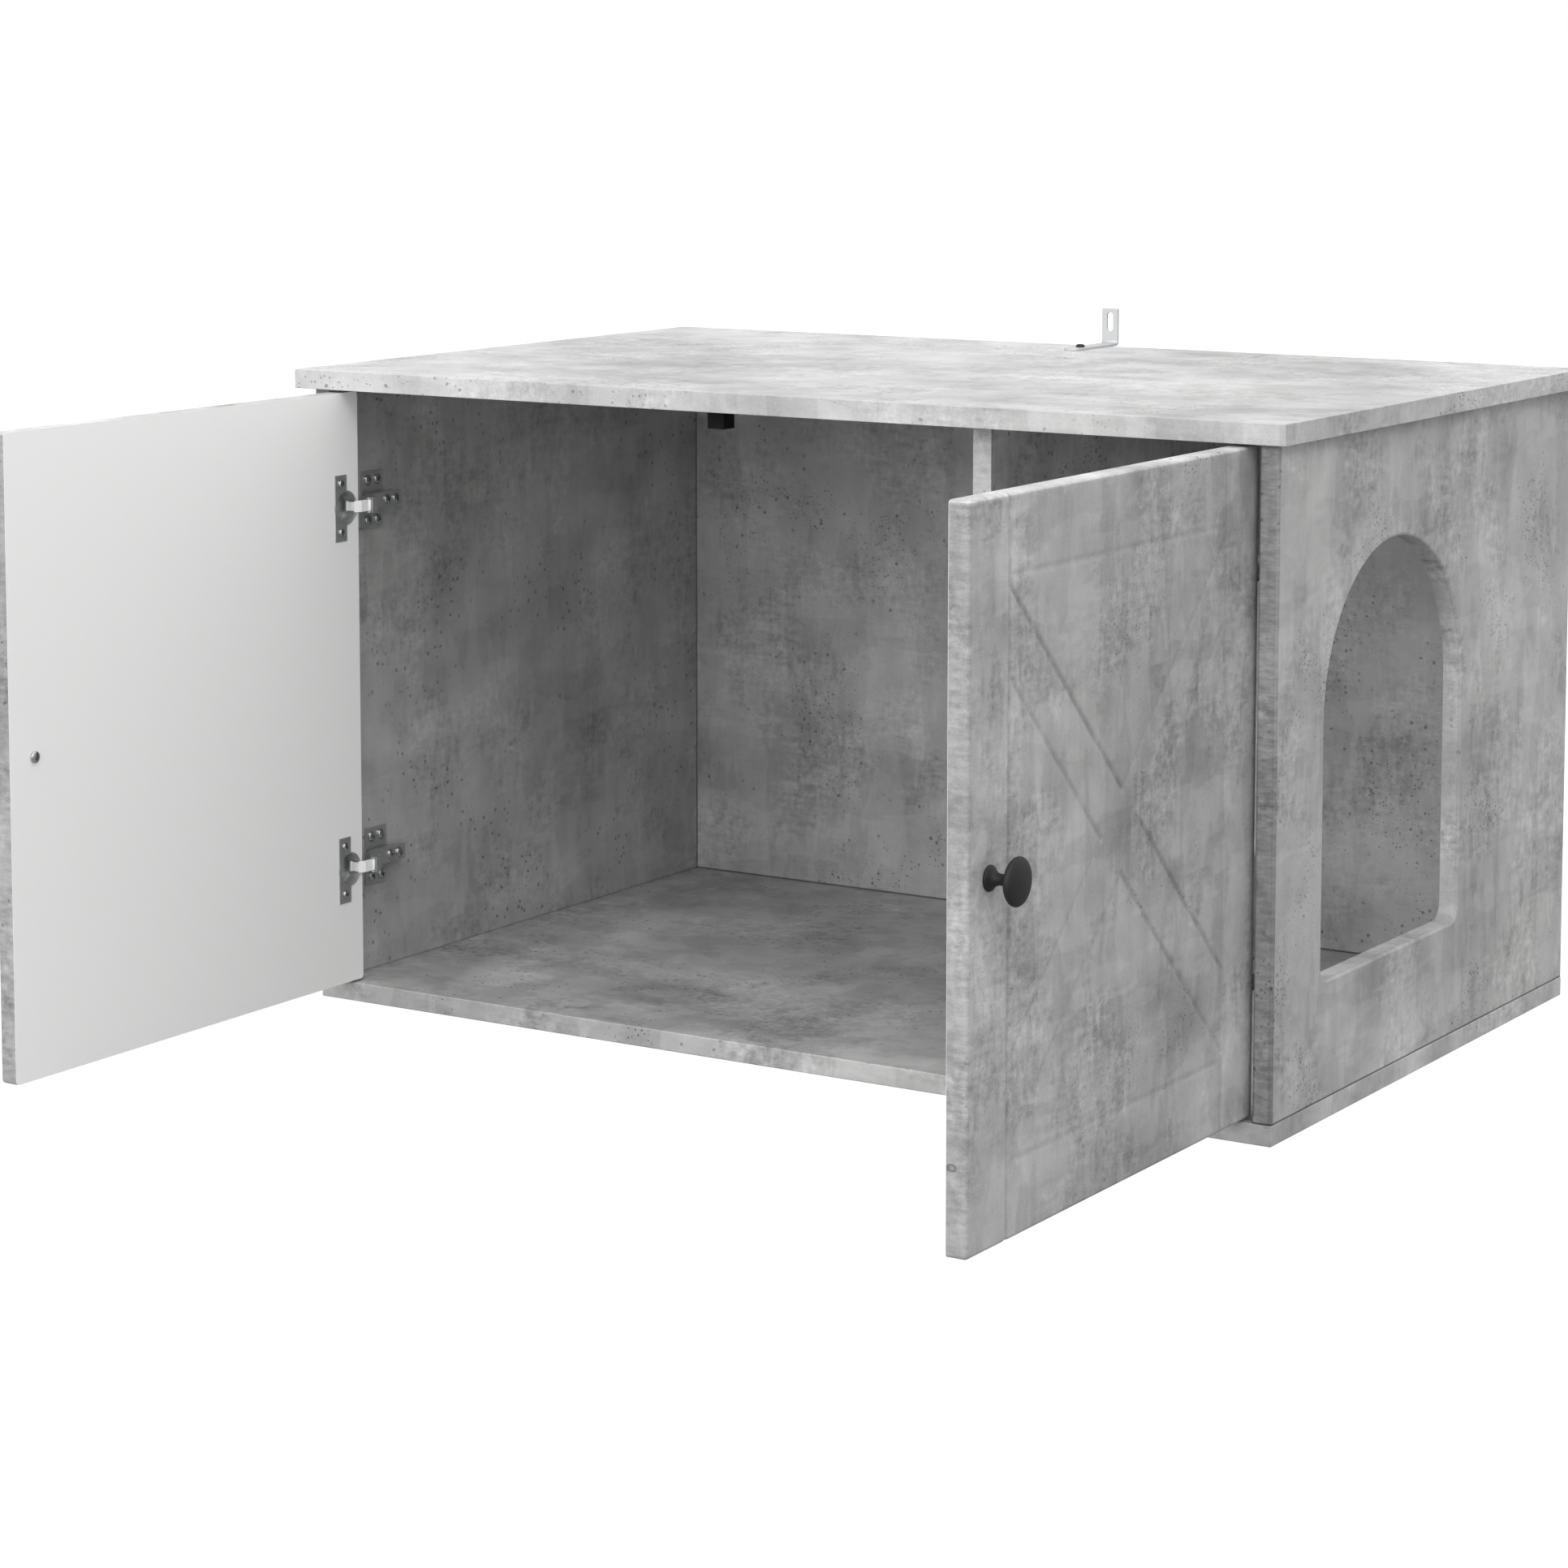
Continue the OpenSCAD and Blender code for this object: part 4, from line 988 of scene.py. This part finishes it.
@dataclass
class Door:
    """A door that stands open at a right angle, with the soft grooves of its frame and crossed braces.

    Sizes are in millimetres: s runs from the side panel's inner face to the free edge, v from the front
    plane to the back, and z up. A groove is given by its depth and the painted shade in its print, and
    those of a brace by one painted shade for the upper outline and one for the lower.
    """

    hand: Hand
    shift: Colour
    seed: int
    knot: Optional[Knot] = None
    near: float = 2.0
    far: float = 398.0
    low: float = 17.0
    high: float = 483.0
    thick: float = 15.0
    edge_r: float = 3.0
    edge_turns: tuple[float, ...] = (15.0, 32.0, 50.0, 70.0, 90.0)
    axis_s: float = 8.0
    axis_v: float = 4.0
    frame_w: float = 50.0
    run_out: float = 9.0
    brace_half: float = 28.28
    groove_steps: int = 5
    # Depth and painted shade of each groove; a brace's triple is its depth, then the painted shade of its
    # upper and of its lower outline.
    hinge_groove: Pair = (0.38, 0.03)
    free_groove: Pair = (0.95, 0.18)
    rail_groove: Pair = (0.38, 0.08)
    falling_grooves: tuple[float, ...] = (0.95, 0.26, 0.14)
    rising_grooves: tuple[float, ...] = (0.285, 0.05, 0.05)
    cup_s: float = 18.0
    cup_r: float = 13.0
    cup_deep: float = 11.0
    cup_facets: int = 48
    knob_s: float = 373.0
    knob_z: float = 250.0
    lining_deep: float = 0.2
    # The print is darker along the free edge, and lighter along the top edge, where it is a painted
    # highlight.
    strips: tuple[Strip, ...] = (Strip("Y", -0.6485, -1, 0.87), Strip("Z", 0.4815, 1, 1.42, 0.2))
    albedo: float = 0.35

    @property
    def body(self) -> str:
        """The body that the door is."""
        return self.hand.word + "_door_leaf"

    @property
    def middle(self) -> Pair:
        """The middle of the front."""
        return (self.near + self.far) / 2, (self.low + self.high) / 2

    @property
    def open_at(self) -> Pair:
        """Where the front plane stands across, and where s begins along the depth, with the door open."""
        return INNER_X - self.axis_s + self.axis_v, FRONT_Y + self.axis_v + self.axis_s

    def spot(self, s: float, v: float, z: float) -> Vector:
        """The place in metres of a point of the door, with the door open."""
        across, along = self.open_at
        return Vector((self.hand.value * (across - v), along - s, z)) * MM

    @cached_property
    def grooves(self) -> list[Groove]:
        """The grooves of the frame and of the four arms of each brace's outline.

        Returns:
            The grooves.
        """
        s0, s1 = self.near + self.frame_w, self.far - self.frame_w
        foot, head = self.low - self.run_out, self.high + self.run_out
        s_mid, z_mid = self.middle
        out = (s1 - s0) / 2
        run = out - self.brace_half
        lines = [Groove((s0, foot), (s0, head), *self.hinge_groove),
                 Groove((s1, foot), (s1, head), *self.free_groove)]
        lines += [Groove((s0, z), (s1, z), *self.rail_groove)
                  for z in (self.low + self.frame_w, self.high - self.frame_w)]
        for sx in (-1, 1):
            for sz in (-1, 1):
                # Each outline of a brace gets its depth and its painted shade; the falling braces carry the
                # darker painted shade.
                depth, *painted_shades = self.falling_grooves if sx == sz else self.rising_grooves
                outer, inner = painted_shades[::sz]
                tip, side = (s_mid, z_mid + sz * self.brace_half), (s_mid + sx * self.brace_half, z_mid)
                lines += [Groove(tip, (tip[0] + sx * out, tip[1] + sz * out), depth, outer),
                          Groove(side, (side[0] + sx * run, side[1] + sz * run), depth, inner)]
        return lines

    def _rounded(self, s: float, z: float) -> Pair:
        """Moves a point near a corner, so that the corner is round seen from the front.

        Args:
            s: Distance across the door.
            z: Height.

        Returns:
            The moved point.
        """
        centre_s = min(max(s, self.near + self.edge_r), self.far - self.edge_r)
        centre_z = min(max(z, self.low + self.edge_r), self.high - self.edge_r)
        out_s, out_z = s - centre_s, z - centre_z
        reach = math.hypot(out_s, out_z)
        if reach < 1e-9:
            return s, z
        share = max(abs(out_s), abs(out_z)) / reach
        return centre_s + out_s * share, centre_z + out_z * share

    def _sunk(self, s: float, z: float) -> float:
        """The depth of the front below its flat at a point.

        Args:
            s: Distance across the door.
            z: Height.

        Returns:
            The depth.
        """
        edge = min(s - self.near, self.far - s, z - self.low, self.high - z)
        inset = max(0.0, self.edge_r - edge)
        sunk = self.edge_r - math.sqrt(max(0.0, self.edge_r ** 2 - inset ** 2))
        return sunk + max(groove.depth * groove.share(s, z) for groove in self.grooves)

    def _cuts(self) -> list[tuple[Pair, Pair]]:
        """Lists the lines that the front is cut along, so that its grooves and edges get their shape.

        Returns:
            A point and a direction across the line, for each.
        """
        found: dict[tuple[float, ...], tuple[Pair, Pair]] = {}
        for groove in self.grooves:
            (s0, z0), (s1, z1) = groove.start, groove.end
            length = math.hypot(s1 - s0, z1 - z0)
            across = ((z1 - z0) / length, -(s1 - s0) / length)
            if across[0] < -1e-6 or (abs(across[0]) < 1e-6 and across[1] < 0):
                across = (-across[0], -across[1])
            for step in range(-self.groove_steps, self.groove_steps + 1):
                shift = groove.half * step / self.groove_steps
                point = (s0 + across[0] * shift, z0 + across[1] * shift)
                key = (round(across[0], 4), round(across[1], 4),
                       round(point[0] * across[0] + point[1] * across[1], 3))
                found[key] = (point, across)
        cuts = list(found.values())
        for turn in self.edge_turns:
            inset = self.edge_r * (1.0 - math.cos(math.radians(turn)))
            cuts += [((s, 0.0), (1.0, 0.0)) for s in (self.near + inset, self.far - inset)]
            cuts += [((0.0, z), (0.0, 1.0)) for z in (self.low + inset, self.high - inset)]
        return cuts

    def _front(self) -> tuple[list[Vector], list[tuple[int, ...]], list[int]]:
        """Draws the grooved front.

        Returns:
            Its points as s, v and z, its faces, and its border in order.
        """
        work = bmesh.new()
        corners = ((self.near, self.low), (self.far, self.low), (self.far, self.high), (self.near, self.high))
        work.faces.new([work.verts.new((s, 0.0, z)) for s, z in corners])
        for (s, z), (across_s, across_z) in self._cuts():
            bmesh.ops.bisect_plane(work, geom=[*work.verts, *work.edges, *work.faces], dist=1e-4,
                                   plane_co=(s, 0.0, z), plane_no=(across_s, 0.0, across_z))
        for vert in work.verts:
            vert.co.y = self._sunk(vert.co.x, vert.co.z)
        work.verts.index_update()
        rim = sorted((vert for vert in work.verts if vert.is_boundary),
                     key=lambda vert: self._way_round(vert.co.x, vert.co.z))
        result = ([vert.co.copy() for vert in work.verts],
                  [tuple(vert.index for vert in face.verts) for face in work.faces],
                  [vert.index for vert in rim])
        work.free()
        return result

    def _way_round(self, s: float, z: float) -> float:
        """How far round the border a point is, as an angle from the lower corner at the hinges.

        Args:
            s: Distance across the door.
            z: Height.

        Returns:
            The angle, anticlockwise, with the front seen as a square.
        """
        s_mid, z_mid = self.middle
        across, up = (s - s_mid) / (self.far - s_mid), (z - z_mid) / (self.high - z_mid)
        return (math.atan2(up, across) + 0.75 * math.pi) % math.tau

    def _mesh(self) -> Mesh:
        """Makes the whole door.

        Returns:
            Its mesh, with the painted shade of its grooves.
        """
        draft = Draft()
        points, faces, rim = self._front()
        painted_shades = {}
        for point in points:
            # The painted shade in the grooves, kept for each point of the front.
            shade = max(groove.shade * groove.share(point.x, point.z) for groove in self.grooves)
            point.x, point.z = self._rounded(point.x, point.z)
            painted_shades[round(point.x, 2), round(point.z, 2)] = shade
        draft.add(points, faces)
        outline = [(points[index].x, points[index].z) for index in rim]
        edges = round_trip(len(rim))
        draft.wall([points[index] for index in rim], [(s, self.thick, z) for s, z in outline])
        for level in Level:
            bore = circle(self.cup_r, self.cup_facets, (self.cup_s, level.value))
            edges += round_trip(self.cup_facets, len(outline))
            outline += bore
            draft.wall([(s, self.thick, z) for s, z in bore],
                       [(s, self.thick - self.cup_deep, z) for s, z in bore], closed=True)
        back, faces = filled(outline, edges, lambda middle: all(
            math.hypot(middle.x - self.cup_s, middle.y - level.value) > self.cup_r for level in Level))
        draft.add([(point.x, self.thick, point.y) for point in back], faces)
        mesh = draft.mesh(self.hand.word + "_door", lambda p: self.spot(p.x, p.y, p.z), 28.0)
        for vertex, value in zip(mesh.vertices, mesh.attributes.new(PAINTED_GROOVE_SHADE, "FLOAT", "POINT").data):
            s, z = self.open_at[1] - vertex.co.y / MM, vertex.co.z / MM
            value.value = painted_shades.get((round(s, 2), round(z, 2)), 0.0)
        return mesh

    def build(self) -> None:
        """Makes the door in place of its node."""
        lining = Lining((self.open_at[0] - self.thick + self.lining_deep) * MM, self.hand)
        word = self.hand.word
        finish = ConcreteFinish(f"concrete {word} door", Grain.UPRIGHT, self.shift, self.albedo,
                                strips=self.strips, lining=lining, knot=self.knot)
        made = set_up(word + "_door_dressed", self._mesh(), finish.dress())
        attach(made, self.body)
        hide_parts(word + "_door")
        log.info("door %s: %d faces", word, len(made.data.polygons))


@dataclass
class Knob:
    """A turned knob with a foot, a waist and a flat round head, as radius and height in millimetres."""

    facets: int = 96
    foot: tuple[Pair, ...] = ((0.0, 0.0), (7.9, 0.0), (8.25, 0.35), (8.25, 1.0))
    waist: tuple[Pair, ...] = (
        (7.95, 1.7), (6.6, 2.9), (4.9, 4.5), (4.0, 6.5), (3.7, 8.8), (4.0, 11.0), (5.2, 12.9), (8.2, 14.6),
        (12.0, 16.2), (14.6, 18.0), (15.5, 19.7), (15.2, 21.1), (13.6, 22.4), (10.4, 23.4), (6.0, 24.15),
        (2.5, 24.45), (0.0, 24.5))

    def build(self, door: Door, palette: Palette) -> None:
        """Makes the knob in place of its node.

        Args:
            door: The door that it stands on.
            palette: The fittings' finishes.
        """
        word = door.hand.word
        draft = Draft()
        line = [*self.foot, *smooth_through(self.waist, 4)]
        draft.lathe([(max(0.0, radius), height) for radius, height in line], self.facets)
        mesh = draft.mesh(word + "_knob",
                          lambda p: door.spot(door.knob_s + p.x, -p.z, door.knob_z + p.y), 50.0)
        made = set_up(word + "_knob_dressed", mesh, palette.black_steel)
        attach(made, door.body)
        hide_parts(word + "_knob")
        log.info("knob %s", word)


@dataclass
class CupHinges:
    """The two concealed hinges of a door, with all their screws, in millimetres."""

    flange_s: float = 24.0
    flange_top: float = 15.8
    cup_screw_half: float = 19.0
    plate_top: float = 1.6
    plate_rows: Pair = (-221.0, -209.0)
    plate_half: float = 16.0
    arm_top: float = 10.0
    arm_rows: Pair = (-196.0, -207.0)
    bevel: float = 0.2
    wood_screw: Screw = Screw(6.65, 2.0, 3.5, 12.0)
    plate_screw: Screw = Screw(8.2, 2.2, 3.5, 12.0)
    arm_screw: Screw = Screw(8.0, 2.0, 4.0, 8.0, 0.6, 0.14, 0.7)
    knob_screw: Screw = Screw(8.7, 2.6, 4.0, 22.5, 0.5, 0.12, 0.7)

    def build(self, door: Door, palette: Palette, tree: ScrewTree) -> None:
        """Dresses the hinges and sets their screws, and the knob's.

        Args:
            door: The door that the cups are in.
            palette: The fittings' finishes.
            tree: The tree that sets screws.
        """
        word, side = door.hand.word, door.hand.value
        for level in Level:
            for part in ("cup", "plate", "arm", "link"):
                # The links take the near-white steel, a painted reflection.
                steel = palette.bright_steel if part == "link" else palette.hinge_steel
                repaint(f"{word}_{level.word}_hinge_{part}", steel, self.bevel)
        repaint(word + "_arm_pins", palette.hinge_steel)
        heights = [level.value for level in Level]
        cups = [door.spot(self.flange_s, self.flange_top, z + end * self.cup_screw_half)
                for z in heights for end in (-1, 1)]
        plates = [Vector((side * (INNER_X - self.plate_top), y, z + end * self.plate_half)) * MM
                  for z in heights for y in self.plate_rows for end in (-1, 1)]
        arms = [Vector((side * (INNER_X - self.arm_top), y, z)) * MM for z in heights for y in self.arm_rows]
        knob = [door.spot(door.knob_s, door.thick, door.knob_z)]
        for seed, (name, body, shape, seats) in enumerate((
                ("cup_screws", door.body, self.wood_screw, cups),
                ("plate_screws", "cabinet", self.plate_screw, plates),
                ("arm_screws", "cabinet", self.arm_screw, arms),
                ("knob_screw", door.body, self.knob_screw, knob)), door.seed):
            screws = ScrewSet(f"{word}_{name}", body, shape, "zinc", seats, Vector((-side, 0.0, 0.0)), seed)
            screws.build(tree, palette.zinc)
            log.info("%s %s: %d", word, name, len(seats))


@dataclass
class TopFittings:
    """The wall bracket on the top panel and the door stop under it, in millimetres."""

    screw: Screw = Screw(7.3, 2.6, 3.5, 12.0)
    screw_y: float = 224.0
    screw_z: float = 502.0
    bracket_bevel: float = 0.25
    stop_bevel: float = 0.4
    seed: int = 31

    def build(self, palette: Palette, tree: ScrewTree) -> None:
        """Dresses the bracket and the stop, and sets the bracket's screw.

        Args:
            palette: The fittings' finishes.
            tree: The tree that sets screws.
        """
        repaint("wall_bracket", palette.strap_zinc, self.bracket_bevel)
        repaint("door_stop", palette.black_plastic, self.stop_bevel)
        repaint("door_stop_screw", palette.zinc)
        seat = Vector((0.0, self.screw_y, self.screw_z)) * MM
        screws = ScrewSet("bracket_screw", "cabinet", self.screw, "black_steel", [seat],
                          Vector((0.0, 0.0, 1.0)), self.seed)
        screws.build(tree, palette.black_steel)
        log.info("bracket and stop")


@dataclass(frozen=True)
class Lamp:
    """A broad soft light, even over the whole floor, whose turn goes from the front towards the left."""

    name: str
    power: float
    height: float
    turn: float
    spread: float

    def build(self) -> None:
        """Adds the light."""
        light = bpy.data.lights.new(self.name, "SUN")
        light.energy = self.power
        light.angle = math.radians(self.spread)
        show(self.name, light).rotation_euler = (
            math.radians(90.0 - self.height), 0.0, math.radians(-self.turn))


@dataclass
class Studio:
    """The camera of the photograph's view, soft light and a pale floor, in metres and degrees."""

    spot: Colour = (1.5949, -2.7491, 0.7610)
    yaw: float = 32.381
    pitch: float = 6.136
    lens: float = 93.54
    sensor: float = 36.0
    shift_y: float = -0.2
    sight: float = 500.0
    sky: float = 1.0
    lamps: tuple[Lamp, ...] = (
        Lamp("overhead", 0.65, 89.0, 0.0, 60.0),
        Lamp("front", 0.95, 25.0, 20.0, 50.0),
        Lamp("low front", 0.65, 8.0, -10.0, 40.0),
        Lamp("right", 0.6, 40.0, -50.0, 22.0),
    )
    floor_reach: float = 60.0

    def camera(self) -> None:
        """Sets up the camera."""
        view = bpy.data.cameras.new("view")
        view.lens = self.lens
        view.sensor_width = self.sensor
        view.shift_y = self.shift_y
        view.clip_end = self.sight
        made = show("view", view)
        made.location = self.spot
        made.rotation_euler = (math.radians(90.0 - self.pitch), 0.0, math.radians(self.yaw))
        bpy.context.scene.camera = made

    def _sky(self) -> None:
        """Sets up the even white light from all round, which is the backdrop too."""
        world = bpy.data.worlds.new("studio")
        world.use_nodes = True
        backdrop = next(node for node in world.node_tree.nodes if node.type == "BACKGROUND")
        backdrop.inputs["Color"].default_value = (1.0, 1.0, 1.0, 1.0)
        backdrop.inputs["Strength"].default_value = self.sky
        bpy.context.scene.world = world

    def build(self) -> None:
        """Sets up light, floor and colours."""
        self._sky()
        for lamp in self.lamps:
            lamp.build()
        far = self.floor_reach
        mesh = bpy.data.meshes.new("floor")
        mesh.from_pydata([(-far, -far, 0.0), (far, -far, 0.0), (far, far, 0.0), (-far, far, 0.0)],
                         [], [(0, 1, 2, 3)])
        set_up("floor", mesh, FloorFinish().dress())
        settings = bpy.context.scene.view_settings
        settings.view_transform = "Standard"
        settings.look = "None"
        log.info("studio")


def main() -> None:
    """Builds every piece in order."""
    logging.basicConfig(level=logging.INFO, format="%(message)s", stream=sys.stdout)
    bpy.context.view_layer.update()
    studio = Studio()
    studio.camera()
    palette = Palette()
    tree = ScrewTree()
    Carcass().build(palette)
    for door in (Door(Hand.LEFT, (4.13, 0.65, 1.52), 10),
                 Door(Hand.RIGHT, (0.44, 4.82, 2.93), 20, Knot((0.3851, 0.0738)))):
        door.build()
        Knob().build(door, palette)
        CupHinges().build(door, palette, tree)
    TopFittings().build(palette, tree)
    studio.build()


if __name__ == "__main__":
    main()
